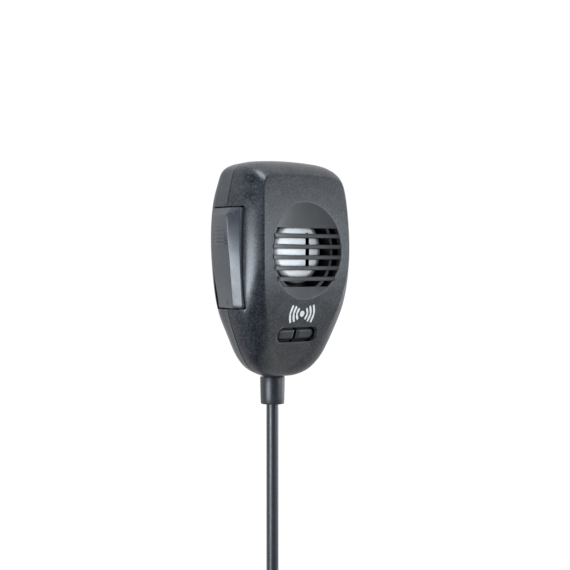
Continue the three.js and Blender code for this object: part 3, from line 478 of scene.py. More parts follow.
class Bench:
    """Makes, cuts and finishes meshes whose points are in design millimetres until they are placed."""

    @staticmethod
    def from_points(name: str, points: np.ndarray, faces: Iterable[Sequence[int]]) -> bpy.types.Object:
        """Makes an object at the origin from design points.

        Args:
            name: The object's name.
            points: Points in design millimetres.
            faces: Lists of point numbers.

        Returns:
            The object, its faces turned outwards.
        """
        mesh = bpy.data.meshes.new(name)
        mesh.from_pydata([tuple(point) for point in Mould.places(points)], [], [list(f) for f in faces])
        piece = bpy.data.objects.new(name, mesh)
        bpy.context.scene.collection.objects.link(piece)
        Bench.face_out(piece)
        return piece

    @staticmethod
    def face_out(piece: bpy.types.Object) -> None:
        """Merges doubles and turns the faces outwards."""
        work = bmesh.new()
        work.from_mesh(piece.data)
        bmesh.ops.remove_doubles(work, verts=work.verts, dist=1e-7)
        bmesh.ops.recalc_face_normals(work, faces=work.faces)
        work.to_mesh(piece.data)
        work.free()

    @staticmethod
    def loft(name: str, rings: Sequence[Ring], wrap: bool = False) -> bpy.types.Object:
        """Skins rings of equally many points.

        Args:
            name: The object's name.
            rings: Rings of design points, in order.
            wrap: True joins the last ring to the first; False closes both ends with a fan.

        Returns:
            The closed object.
        """
        count = len(rings[0])
        points = np.concatenate(rings)
        faces: list[list[int]] = []
        spans = len(rings) if wrap else len(rings) - 1
        for r in range(spans):
            near = r * count
            far = ((r + 1) % len(rings)) * count
            for i in range(count):
                j = (i + 1) % count
                faces.append([near + i, near + j, far + j, far + i])
        if not wrap:
            for first, ring in ((0, rings[0]), ((len(rings) - 1) * count, rings[-1])):
                points = np.vstack([points, ring.mean(axis=0)])
                middle = len(points) - 1
                faces += [[first + i, first + (i + 1) % count, middle] for i in range(count)]
        return Bench.from_points(name, points, faces)

    @staticmethod
    def turned(
        name: str, profile: Outline, centre: Point, axis: str = "Y", sides: int = 64
    ) -> bpy.types.Object:
        """Turns a closed profile about an axis through a design point.

        Args:
            name: The object's name.
            profile: Pairs of radius and height along the axis, from axis to axis.
            centre: A point on the axis; its own height is added to the profile's.
            axis: "Y" or "Z".
            sides: Points round the piece.

        Returns:
            The object.
        """
        angles = np.linspace(0.0, 2 * math.pi, sides, endpoint=False)
        rings = []
        for radius, height in profile:
            across = max(radius, 1e-4) * np.cos(angles)
            other = max(radius, 1e-4) * np.sin(angles)
            along = np.full(sides, height)
            parts = (across, along, other) if axis == "Y" else (across, other, along)
            rings.append(np.stack(parts, axis=1) + np.array(centre))
        return Bench.loft(name, rings, wrap=profile[0][0] > 0)

    @staticmethod
    def cut(
        piece: bpy.types.Object, cutters: Sequence[bpy.types.Object], operation: str = "DIFFERENCE"
    ) -> None:
        """Cuts a piece by others, which are then deleted."""
        for cutter in cutters:
            step = piece.modifiers.new("cut", "BOOLEAN")
            step.operation = operation
            step.solver = "EXACT"
            step.object = cutter
            Bench.settle(piece)
            bpy.data.objects.remove(cutter, do_unlink=True)

    @staticmethod
    def settle(piece: bpy.types.Object) -> None:
        """Turns a piece's modifiers into its mesh."""
        graph = bpy.context.evaluated_depsgraph_get()
        graph.update()
        done = bpy.data.meshes.new_from_object(piece.evaluated_get(graph), depsgraph=graph)
        old = piece.data
        piece.modifiers.clear()
        piece.data = done
        bpy.data.meshes.remove(old)

    @staticmethod
    def soften(
        piece: bpy.types.Object, width: float, where: Callable[[Vector], bool], angle: float = 40.0
    ) -> None:
        """Rounds the sharp edges of a region.

        Args:
            piece: The piece.
            width: The rounding's width, mm.
            where: Says whether an edge whose middle is at a design point is rounded.
            angle: The least angle between an edge's faces, degrees.
        """
        work = bmesh.new()
        work.from_mesh(piece.data)
        bmesh.ops.remove_doubles(work, verts=work.verts, dist=2e-6)
        bmesh.ops.dissolve_degenerate(work, edges=work.edges, dist=2e-6)
        least = math.radians(angle)
        chosen = []
        for edge in work.edges:
            if len(edge.link_faces) != 2 or edge.calc_face_angle(0.0) < least:
                continue
            middle = ((edge.verts[0].co + edge.verts[1].co) / 2 - Mould.origin) / MM
            if where(middle):
                chosen.append(edge)
        bmesh.ops.bevel(
            work, geom=chosen, offset=width * MM, segments=2, profile=0.5, affect="EDGES", clamp_overlap=True
        )
        work.to_mesh(piece.data)
        work.free()

    @staticmethod
    def smooth(piece: bpy.types.Object, angle: float = 32.0) -> None:
        """Shades a piece smooth except across sharp edges."""
        piece.data.shade_smooth()
        piece.data.set_sharp_from_angle(angle=math.radians(angle))

    @staticmethod
    def join(name: str, pieces: Sequence[bpy.types.Object]) -> bpy.types.Object:
        """Joins meshes into one object, keeping each mesh closed on its own."""
        work = bmesh.new()
        for piece in pieces:
            work.from_mesh(piece.data)
        mesh = bpy.data.meshes.new(name)
        work.to_mesh(mesh)
        work.free()
        for piece in pieces:
            bpy.data.objects.remove(piece, do_unlink=True)
        whole = bpy.data.objects.new(name, mesh)
        bpy.context.scene.collection.objects.link(whole)
        return whole


def rounded(corners: Outline, radii: Sequence[float] | float, steps: int = 5) -> np.ndarray:
    """Rounds the corners of a flat outline by arcs.

    Args:
        corners: The outline's corners.
        radii: One radius for all corners, or one for each.
        steps: Straight steps in each arc.

    Returns:
        The outline's points.
    """
    count = len(corners)
    sizes = [radii] * count if isinstance(radii, (int, float)) else list(radii)
    points = []
    for i, corner in enumerate(corners):
        here = np.array(corner)
        back = np.array(corners[i - 1]) - here
        ahead = np.array(corners[(i + 1) % count]) - here
        back_unit = back / np.linalg.norm(back)
        ahead_unit = ahead / np.linalg.norm(ahead)
        half = math.acos(float(np.clip(back_unit @ ahead_unit, -1, 1))) / 2
        reach = min(sizes[i] / math.tan(half), 0.48 * np.linalg.norm(back), 0.48 * np.linalg.norm(ahead))
        radius = reach * math.tan(half)
        if radius < 1e-3:
            points.append(here)
            continue
        bisector = back_unit + ahead_unit
        centre = here + bisector / np.linalg.norm(bisector) * radius / math.sin(half)
        start = here + back_unit * reach - centre
        end = here + ahead_unit * reach - centre
        turn = math.atan2(start[0] * end[1] - start[1] * end[0], float(start @ end))
        for k in range(steps + 1):
            a = turn * k / steps
            points.append(centre + np.array([
                start[0] * math.cos(a) - start[1] * math.sin(a),
                start[0] * math.sin(a) + start[1] * math.cos(a),
            ]))
    return np.array(points)


def stadium(half_length: float, half_height: float, steps: int = 12) -> list[tuple[float, float]]:
    """Gives a stadium outline about the origin."""
    flat = half_length - half_height
    points = []
    for side in (1, -1):
        for k in range(steps + 1):
            a = side * math.pi / 2 - math.pi * k / steps
            points.append((side * flat + half_height * math.cos(a), half_height * math.sin(a)))
    return points


def plate(outline: np.ndarray | Outline, start: float, end: float, axis: str) -> list[Ring]:
    """Gives the two rings of a flat outline drawn out along an axis.

    Args:
        outline: Points in the plane across the axis: (Y, Z), (X, Z) or (X, Y).
        start: Where it starts along the axis.
        end: Where it ends.
        axis: "X", "Y" or "Z".

    Returns:
        Two rings for a loft.
    """
    flat = np.array(outline, dtype=float)
    rings = []
    for at in (start, end):
        rings.append(np.insert(flat, "XYZ".index(axis), at, axis=1))
    return rings


# ---- The body's form -----------------------------------------------------------------------------


@dataclass
class BodyForm:
    """The surfaces that both shells, the lever and the keys share."""

    width: float = 60.0
    top: float = 37.2
    bottom: float = -52.4
    face_width: float = 49.4
    face_top: float = 31.0
    face_tip: float = -48.5
    parting: float = 17.0
    gap: float = 0.3
    back: float = 30.0
    stud_height: float = 8.0
    crown_lower: float = 96.0
    crown_upper: float = 220.0
    back_taper: float = 3.0
    corner: float = 5.0
    corner_growth: float = 8.0
    fullness: float = 3.2
    wall: float = 2.2
    samples: int = 9

    PARTING_OUTLINE = (
        (0, 1), (0.4, 0.99), (0.66, 0.965), (0.83, 0.895), (0.9, 0.74), (0.97, 0.5), (1, -0.05),
        (0.967, -0.458), (0.84, -0.67), (0.67, -0.857), (0.5, -0.95), (0.27, -0.995), (0, -1),
    )
    FACE_OUTLINE = (
        (0, 1), (0.4, 0.99), (0.7, 0.975), (0.88, 0.93), (0.935, 0.84), (0.975, 0.55), (1, 0),
        (0.95, -0.3), (0.77, -0.592), (0.6, -0.73), (0.4, -0.86), (0.19, -0.965), (0, -1),
    )

    def outline(self, shares: Outline, width: float, top: float, bottom: float) -> np.ndarray:
        """Draws a closed outline through mirrored points with a smooth curve.

        Args:
            shares: Half outline: shares of the half width, and of the top or the bottom.
            width: The outline's full width.
            top: Its highest point.
            bottom: Its lowest point.

        Returns:
            Points (X, Z), clockwise from the top seen from the front.
        """
        right = [(x * width / 2, z * top if z > 0 else -z * bottom) for x, z in shares]
        loop = np.array(right + [(-x, z) for x, z in reversed(right[1:-1])])
        count = len(loop)
        drawn = []
        for i in range(count):
            before, here, ahead, beyond = (loop[(i + k) % count] for k in (-1, 0, 1, 2))
            step0, step1, step2 = (
                math.sqrt(np.linalg.norm(b - a)) for a, b in ((before, here), (here, ahead), (ahead, beyond))
            )
            leave = (here - before) / step0 - (ahead - before) / (step0 + step1) + (ahead - here) / step1
            arrive = (ahead - here) / step1 - (beyond - here) / (step1 + step2) + (beyond - ahead) / step2
            leave, arrive = leave * step1, arrive * step1
            for k in range(self.samples):
                t = k / self.samples
                drawn.append(
                    here * (2 * t**3 - 3 * t**2 + 1) + leave * (t**3 - 2 * t**2 + t)
                    + ahead * (3 * t**2 - 2 * t**3) + arrive * (t**3 - t**2)
                )
        points = np.array(drawn)
        for _ in range(6):
            points = 0.5 * points + 0.25 * (np.roll(points, 1, axis=0) + np.roll(points, -1, axis=0))
        return points

    def __post_init__(self) -> None:
        """Draws the two outlines."""
        self.rim = self.outline(self.PARTING_OUTLINE, self.width, self.top, self.bottom)
        self.crease = self.outline(self.FACE_OUTLINE, self.face_width, self.face_top, self.face_tip)

    @staticmethod
    def inward(ring: np.ndarray) -> np.ndarray:
        """Gives the inward normals of a clockwise outline."""
        along = np.roll(ring, -1, axis=0) - np.roll(ring, 1, axis=0)
        along /= np.linalg.norm(along, axis=1, keepdims=True)
        return np.stack([along[:, 1], -along[:, 0]], axis=1)

    @staticmethod
    def inset(ring: np.ndarray, distance: np.ndarray | float) -> np.ndarray:
        """Moves a clockwise outline inwards by a distance."""
        return ring + BodyForm.inward(ring) * np.reshape(distance, (-1, 1))

    @staticmethod
    def drawn_in(ring: np.ndarray, distance: np.ndarray | float) -> np.ndarray:
        """Moves an outline far inwards, towards its middle line, so that it never crosses itself."""
        spine = np.stack([np.zeros(len(ring)), np.clip(ring[:, 1], -37.0, 20.0)], axis=1)
        ray = spine - ring
        ray /= np.linalg.norm(ray, axis=1, keepdims=True)
        lean = np.clip((ray * BodyForm.inward(ring)).sum(axis=1), 0.7, 1.0)
        return ring + ray * np.reshape(distance / lean, (-1, 1))

    def face_y(self, z: np.ndarray | float) -> np.ndarray:
        """Gives the face's depth at a height: arcs above and below the grille's centre."""
        z = np.asarray(z, dtype=float)
        return z**2 / (2 * np.where(z < 0, self.crown_lower, self.crown_upper))

    def back_y(self, z: np.ndarray | float) -> np.ndarray:
        """Gives the back's depth at a height."""
        height = np.asarray(z, dtype=float) - self.stud_height
        above = 2.4 * (height / (self.top - self.stud_height)) ** 2
        below = self.back_taper * (height / (self.stud_height - self.bottom)) ** 2
        return self.back - np.where(height > 0, above, below)

    def wall_ring(self, back: float, inset: float = 0.0) -> Ring:
        """Gives a ring of the front shell's side wall.

        Args:
            back: 0 at the crease, 1 at the parting line.
            inset: How far inside the outer surface.

        Returns:
            Design points.
        """
        outer = self.inset(self.rim, inset)
        crease = self.inset(self.crease, inset)
        out = 1 - (1 - back) ** self.fullness
        crease_y = self.face_y(crease[:, 1]) + inset
        flat = crease + (outer - crease) * out
        depth = crease_y + (self.parting - self.gap / 2 - crease_y) * back
        return np.stack([flat[:, 0], depth, flat[:, 1]], axis=1)

    def face_ring(self, outline: np.ndarray, inset: float = 0.0) -> Ring:
        """Lays an outline on the face."""
        return np.stack([outline[:, 0], self.face_y(outline[:, 1]) + inset, outline[:, 1]], axis=1)


class Slot(Enum):
    """Edges of the press-to-talk slot in the body's side: depths and heights, mm."""

    FRONT = 7.6
    BACK = 25.4
    BOTTOM = -23.8
    TOP = 17.8


def slot_cutter(form: BodyForm) -> bpy.types.Object:
    """Gives the cutter of the press-to-talk slot, with small corner radii."""
    corners = [
        (Slot.FRONT.value, Slot.BOTTOM.value), (Slot.BACK.value, Slot.BOTTOM.value),
        (Slot.BACK.value, Slot.TOP.value), (Slot.FRONT.value, Slot.TOP.value),
    ]
    outline = rounded(corners, 0.5, 3)
    return Bench.loft("slot_cutter", plate(outline, -form.width / 2 - 8, -form.width / 2 + 6, "X"))


def by_slot(point: Vector) -> bool:
    """Says whether a design point is on the rim of the press-to-talk slot."""
    near = 0.15
    deep = Slot.FRONT.value - near < point.y < Slot.BACK.value + near
    high = Slot.BOTTOM.value - near < point.z < Slot.TOP.value + near
    return point.x < -27.0 and deep and high


SHELL_SCREWS = ((-18.0, 24.9), (18.0, 24.9), (-15.0, -39.8), (15.0, -39.8))
CLAMP_POSTS = ((-7.4, -44.4), (7.4, -44.4))
KEY_ROW_Z = -34.6
CORD_Y = 21.3
SCREW_PILOT = 1.25


@dataclass
class Grille:
    """The round dish in the face, its six slots and the bars between them."""

    radius: float = 20.0
    depth: float = 3.2
    wall: float = 1.8
    slots: int = 6
    pitch: float = 4.43
    slot_height: float = 2.1
    top_slot: float = 8.3
    rim_round: float = 0.35

    def dish_y(self, radius: np.ndarray | float) -> np.ndarray:
        """Gives the dish's depth at a distance from its centre."""
        return self.depth * (1 - (np.asarray(radius) / self.radius) ** 2)

    def opening(self) -> tuple[float, float]:
        """Gives the lowest and the highest edge of all the slots."""
        high = self.top_slot + self.slot_height / 2
        low = self.top_slot - (self.slots - 1) * self.pitch - self.slot_height / 2
        return low, high

    def cutter(self) -> bpy.types.Object:
        """Gives the cutter of the opening that the bars cross."""
        low, high = self.opening()
        reach = self.radius - 0.45
        outline = []
        for side, first, last in ((1, high, low), (-1, low, high)):
            start = math.asin(first / reach)
            end = math.asin(last / reach)
            for k in range(25):
                a = start + (end - start) * k / 24
                outline.append((side * reach * math.cos(a), reach * math.sin(a)))
        return Bench.loft("grille_cutter", plate(outline, -4.0, 8.0, "Y"))

    def on_edge(self, point: Vector) -> bool:
        """Says whether a design point is on the opening's edge in the dish."""
        low, high = self.opening()
        inside = math.hypot(point.x, point.z) < self.radius - 0.3
        return inside and low - 0.1 < point.z < high + 0.1 and point.y < float(self.dish_y(0)) + 0.3

    def bars(self) -> bpy.types.Object:
        """Makes the bars between the slots with Geometry Nodes: each is a rounded strip that
        follows the dish."""
        sizes = {
            "Bars": ("NodeSocketInt", self.slots - 1),
            "Pitch": ("NodeSocketFloat", self.pitch * MM),
            "Radius": ("NodeSocketFloat", self.radius * MM),
            "Depth": ("NodeSocketFloat", self.depth * MM),
            "Height": ("NodeSocketFloat", (self.pitch - self.slot_height) * MM),
            "Thickness": ("NodeSocketFloat", self.wall * MM),
            "Top": ("NodeSocketFloat", (self.top_slot - self.pitch / 2) * MM),
            "Finish": ("NodeSocketMaterial", Wardrobe.of(Finish.TEXTURED)),
        }
        flow = Flow("grille_bars", sizes)
        line = flow.add("GeometryNodeMeshLine", {"mode": "OFFSET"}, {
            "Count": flow.given("Bars"),
            "Start Location": flow.vector(0.0, 0.0, flow.given("Top")),
            "Offset": flow.vector(0.0, 0.0, flow.maths("MULTIPLY", flow.given("Pitch"), -1.0)),
        })
        wide = flow.maths("MULTIPLY", flow.given("Radius"), 2.0)
        half = flow.maths("MULTIPLY", flow.given("Radius"), -1.0)
        strip = flow.add("GeometryNodeMeshLine", {"mode": "OFFSET"}, {
            "Count": 49,
            "Start Location": flow.vector(half, 0.0, 0.0),
            "Offset": flow.vector(flow.maths("DIVIDE", wide, 48.0), 0.0, 0.0),
        })
        copies = flow.add("GeometryNodeInstanceOnPoints", {}, {
            "Points": line.outputs[0], "Instance": strip.outputs[0],
        })
        real = flow.add("GeometryNodeRealizeInstances", {}, {"Geometry": copies.outputs[0]})
        where = flow.add("GeometryNodeInputPosition").outputs[0]
        parts = flow.add("ShaderNodeSeparateXYZ", {}, {0: where})
        height = parts.outputs[2]
        squared = flow.maths("MULTIPLY", height, height)
        reach = flow.maths("MULTIPLY", flow.given("Radius"), 0.992)
        across = flow.maths("SQRT", flow.maths("SUBTRACT", flow.maths("MULTIPLY", reach, reach), squared))
        share = flow.maths("DIVIDE", parts.outputs[0], flow.given("Radius"))
        new_x = flow.maths("MULTIPLY", share, across)
        range2 = flow.maths("ADD", flow.maths("MULTIPLY", new_x, new_x), squared)
        full2 = flow.maths("MULTIPLY", flow.given("Radius"), flow.given("Radius"))
        left_over = flow.maths("SUBTRACT", 1.0, flow.maths("DIVIDE", range2, full2))
        sunk = flow.maths("MULTIPLY", flow.given("Depth"), left_over)
        middle = flow.maths("ADD", sunk, flow.maths("MULTIPLY", flow.given("Thickness"), 0.5))
        bent = flow.add("GeometryNodeSetPosition", {}, {
            "Geometry": real.outputs[0], "Position": flow.vector(new_x, middle, height),
        })
        spine = flow.add("GeometryNodeMeshToCurve", {}, {"Mesh": bent.outputs[0]})
        section = flow.add("GeometryNodeCurvePrimitiveQuadrilateral", {}, {
            "Width": flow.given("Height"), "Height": flow.given("Thickness"),
        })
        soft = flow.add("GeometryNodeFilletCurve", {}, {"Curve": section.outputs[0], "Radius": 0.28 * MM})
        if "Mode" in soft.inputs:
            soft.inputs["Mode"].default_value = "Poly"
        else:
            soft.mode = "POLY"
        soft.inputs["Count"].default_value = 4
        upright = flow.add("GeometryNodeSetCurveNormal")
        upright.mode = "Z_UP"
        flow.link(spine.outputs[0], upright.inputs["Curve"])
        solid = flow.add("GeometryNodeCurveToMesh", {}, {
            "Curve": upright.outputs[0], "Profile Curve": soft.outputs[0], "Fill Caps": True,
        })
        dressed = flow.add("GeometryNodeSetMaterial", {}, {
            "Geometry": solid.outputs[0], "Material": flow.given("Finish"),
        })
        flow.finish(dressed.outputs[0])
        return flow.run("grille_bars", shifted=True)


class Flow:
    """A Geometry Nodes tree built in the script, with named inputs, and run once."""

    def __init__(self, name: str, sizes: dict[str, tuple[str, object]]) -> None:
        """Starts a tree with its inputs.

        Args:
            name: The tree's name.
            sizes: Each input's name with its socket type and value.
        """
        tree = bpy.data.node_groups.new(name, "GeometryNodeTree")
        tree.interface.new_socket("Geometry", in_out="OUTPUT", socket_type="NodeSocketGeometry")
        self.tree = tree
        self.values = {}
        for name, (kind, value) in sizes.items():
            socket = tree.interface.new_socket(name, in_out="INPUT", socket_type=kind)
            self.values[socket.identifier] = value
        self.entry = tree.nodes.new("NodeGroupInput")
        self.exit = tree.nodes.new("NodeGroupOutput")

    def given(self, name: str) -> bpy.types.NodeSocket:
        """Gives a named input."""
        return self.entry.outputs[name]

    def link(self, source: bpy.types.NodeSocket, target: bpy.types.NodeSocket) -> None:
        """Links two sockets."""
        self.tree.links.new(source, target)

    def add(self, kind: str, settings: dict | None = None, inputs: dict | None = None) -> bpy.types.Node:
        """Adds a node, with its settings first and then its sockets' values or links."""
        node = self.tree.nodes.new(kind)
        for key, value in (settings or {}).items():
            setattr(node, key, value)
        for key, value in (inputs or {}).items():
            if isinstance(value, bpy.types.NodeSocket):
                self.link(value, node.inputs[key])
            else:
                node.inputs[key].default_value = value
        return node

    def maths(self, operation: str, *values: object) -> bpy.types.NodeSocket:
        """Adds a Math node and gives its result."""
        return self.add("ShaderNodeMath", {"operation": operation}, dict(enumerate(values))).outputs[0]

    def vector(self, x: object, y: object, z: object) -> bpy.types.NodeSocket:
        """Puts three numbers together as a vector."""
        return self.add("ShaderNodeCombineXYZ", {}, {0: x, 1: y, 2: z}).outputs[0]

    def finish(self, geometry: bpy.types.NodeSocket) -> None:
        """Makes the result real and hands it out."""
        real = self.add("GeometryNodeRealizeInstances", {}, {"Geometry": geometry})
        self.link(real.outputs[0], self.exit.inputs[0])

    def run(self, name: str, shifted: bool = False) -> bpy.types.Object:
        """Runs the tree and gives its result as a plain mesh.

        Args:
            name: The object's name.
            shifted: True where the tree works about the design origin and has yet to be moved there.

        Returns:
            The object.
        """
        mesh = bpy.data.meshes.new(name)
        piece = bpy.data.objects.new(name, mesh)
        bpy.context.scene.collection.objects.link(piece)
        step = piece.modifiers.new("form", "NODES")
        step.node_group = self.tree
        for identifier, value in self.values.items():
            step[identifier] = value
        Bench.settle(piece)
        if shifted:
            piece.data.transform(Matrix.Translation(Mould.origin))
        return piece


def repeated(
    name: str, part: bpy.types.Object, places: Sequence[Point], turn: float, finish: Finish
) -> bpy.types.Object:
    """Repeats a part on design points with Geometry Nodes.

    Args:
        name: The result's name.
        part: The part, made about the frame's origin; it is deleted.
        places: Where its copies go.
        turn: How far each copy is turned about Z from the one before, in radians.
        finish: The copies' finish.

    Returns:
        One object with all the copies.
    """
    spots = bpy.data.meshes.new(f"{name}_places")
    spots.from_pydata([tuple(Mould.place(place)) for place in places], [], [])
    marks = bpy.data.objects.new(f"{name}_places", spots)
    bpy.context.scene.collection.objects.link(marks)
    flow = Flow(name, {
        "Part": ("NodeSocketObject", part),
        "Places": ("NodeSocketObject", marks),
        "Turn": ("NodeSocketFloat", turn),
        "Finish": ("NodeSocketMaterial", Wardrobe.of(finish)),
    })
    source = flow.add("GeometryNodeObjectInfo", {}, {"Object": flow.given("Part")})
    points = flow.add("GeometryNodeObjectInfo", {}, {"Object": flow.given("Places")})
    number = flow.add("GeometryNodeInputIndex").outputs[0]
    angle = flow.maths("MULTIPLY", number, flow.given("Turn"))
    copies = flow.add("GeometryNodeInstanceOnPoints", {}, {
        "Points": points.outputs["Geometry"],
        "Instance": source.outputs["Geometry"],
        "Rotation": flow.vector(0.0, 0.0, angle),
    })
    real = flow.add("GeometryNodeRealizeInstances", {}, {"Geometry": copies.outputs[0]})
    dressed = flow.add("GeometryNodeSetMaterial", {}, {
        "Geometry": real.outputs[0], "Material": flow.given("Finish"),
    })
    flow.finish(dressed.outputs[0])
    whole = flow.run(name)
    for used in (part, marks):
        bpy.data.objects.remove(used, do_unlink=True)
    return whole


def at_origin(piece: bpy.types.Object) -> bpy.types.Object:
    """Moves a mesh from the design origin to the frame's, for repeating."""
    piece.data.transform(Matrix.Translation(-Mould.origin))
    return piece


def hand_over(piece: bpy.types.Object, finish: Finish, body: str, *nodes: str) -> bpy.types.Object:
    """Dresses a finished piece and gives it its body and the CAD nodes that it stands for."""
    Wardrobe.dress(piece, finish)
    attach(piece, body)
    if nodes:
        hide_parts(*nodes)
    LOG.info("%s: %d faces, on %s", piece.name, len(piece.data.polygons), body)
    return piece


def bent(first: np.ndarray, corner: np.ndarray, last: np.ndarray, steps: int) -> list[Ring]:
    """Gives rings that turn softly from one ring to another past a corner ring."""
    turned_rings = []
    for k in range(steps + 1):
        t = k / steps
        turned_rings.append((1 - t) ** 2 * first + 2 * t * (1 - t) * corner + t**2 * last)
    return turned_rings


# ---- Shells ------------------------------------------------------------------------------------


@dataclass
class FrontShell:
    """The front half: face, grille dish, side wall, and the bosses inside it."""

    form: BodyForm
    grille: Grille
    crease_round: float = 0.55
    boss: float = 3.1
    post: float = 2.5

    WINDOW = (11.4, 3.1)
    BOARD_POSTS = ((-12.0, -24.5), (17.0, -22.0), (0.0, 27.5))

    def skin(self) -> list[Ring]:
        """Gives the rings of both skins, from the parting line over the face and back inside."""
        form, grille = self.form, self.grille
        edge = form.wall_ring(1.0, 0.1)
        walls = [form.wall_ring(back) for back in (0.993, 0.9, 0.75, 0.6, 0.46, 0.34, 0.24, 0.16, 0.1)]
        near_face = form.face_ring(form.inset(form.crease, self.crease_round))
        crease = form.face_ring(form.crease)
        rings = [edge, *walls, *bent(form.wall_ring(0.035), crease, near_face, 6)]
        unit = form.crease / np.linalg.norm(form.crease, axis=1, keepdims=True)
        lip = form.face_ring(unit * (grille.radius + 0.45))
        for share in (0.25, 0.5, 0.75):
            flat = (near_face * (1 - share) + lip * share)[:, [0, 2]]
            rings.append(form.face_ring(flat))
        inside = self.dish_ring(unit, grille.radius - 0.45)
        rings += bent(lip, form.face_ring(unit * grille.radius), inside, 4)
        rings += [self.dish_ring(unit, radius) for radius in (18, 16, 13, 10, 7, 4, 1.5, 0.05)]
        rings += [self.dish_ring(unit, radius, grille.wall) for radius in (0.05, 7, 14, 19, 21)]
        rings += [form.wall_ring(back, form.wall) for back in (0.0, 0.1, 0.24, 0.46, 0.75, 1.0)]
        return rings

    def dish_ring(self, unit: np.ndarray, radius: float, behind: float = 0.0) -> Ring:
        """Gives a ring of the dish, which is sunk below the crowned face."""
        flat = unit * radius
        ring = self.form.face_ring(flat)
        ring[:, 1] += max(0.0, float(self.grille.dish_y(radius))) + behind
        return ring

    def window(self) -> bpy.types.Object:
        """Gives the cutter of the channel keys' window."""
        outline = np.array(stadium(*self.WINDOW, 16)) + np.array([0.0, KEY_ROW_Z])
        return Bench.loft("window_cutter", plate(outline, -2.0, 12.0, "Y"))

    def by_window(self, point: Vector) -> bool:
        """Says whether a design point is on the window's rim in the face."""
        near = point.y < float(self.form.face_y(point.z)) + 0.5
        wide, tall = (half + 0.2 for half in self.WINDOW)
        return abs(point.x) < wide and abs(point.z - KEY_ROW_Z) < tall and near

    def inner_parts(self) -> list[bpy.types.Object]:
        """Makes the screw bosses, the board posts and the capsule's collar."""
        parts = []
        for i, (x, z) in enumerate(SHELL_SCREWS):
            start = 11.8 if z < 0 else float(self.form.face_y(z)) + 1.0
            end = self.form.parting - self.form.gap / 2
            profile = [
                (SCREW_PILOT, end - 7), (SCREW_PILOT, end - 0.3), (SCREW_PILOT + 0.3, end),
                (self.boss, end), (self.boss, start), (SCREW_PILOT, start),
            ]
            parts.append(Bench.turned(f"boss_{i}", profile, (x, 0.0, z), "Y", 32))
        for i, (x, z) in enumerate(self.BOARD_POSTS):
            start = float(self.form.face_y(z)) + 1.0
            profile = [
                (SCREW_PILOT, start), (SCREW_PILOT, 18.7), (self.post, 18.7), (self.post, start),
            ]
            parts.append(Bench.turned(f"post_{i}", profile, (x, 0.0, z), "Y", 24))
        collar = [(16.6, 3.4), (18.0, 3.4), (18.0, 12.0), (17.7, 12.3), (16.9, 12.3), (16.6, 12.0)]
        parts.append(Bench.turned("collar", collar, (0.0, 0.0, 0.0), "Y", 72))
        return parts

    def build(self) -> bpy.types.Object:
        """Makes, cuts and dresses the shell."""
        shell = Bench.loft("front_case", self.skin(), wrap=True)
        Bench.cut(shell, [self.grille.cutter(), self.window(), slot_cutter(self.form)])
        Bench.soften(shell, self.grille.rim_round, self.grille.on_edge)
        Bench.soften(shell, 0.4, self.by_window)
        Bench.soften(shell, 0.35, by_slot)
        Bench.smooth(shell)
        bars = self.grille.bars()
        Bench.smooth(bars, 50.0)
        parts = self.inner_parts()
        for part in parts:
            Bench.smooth(part)
        whole = Bench.join("front_case", [shell, bars, *parts])
        return hand_over(whole, Finish.TEXTURED, "housing", "front_shell")


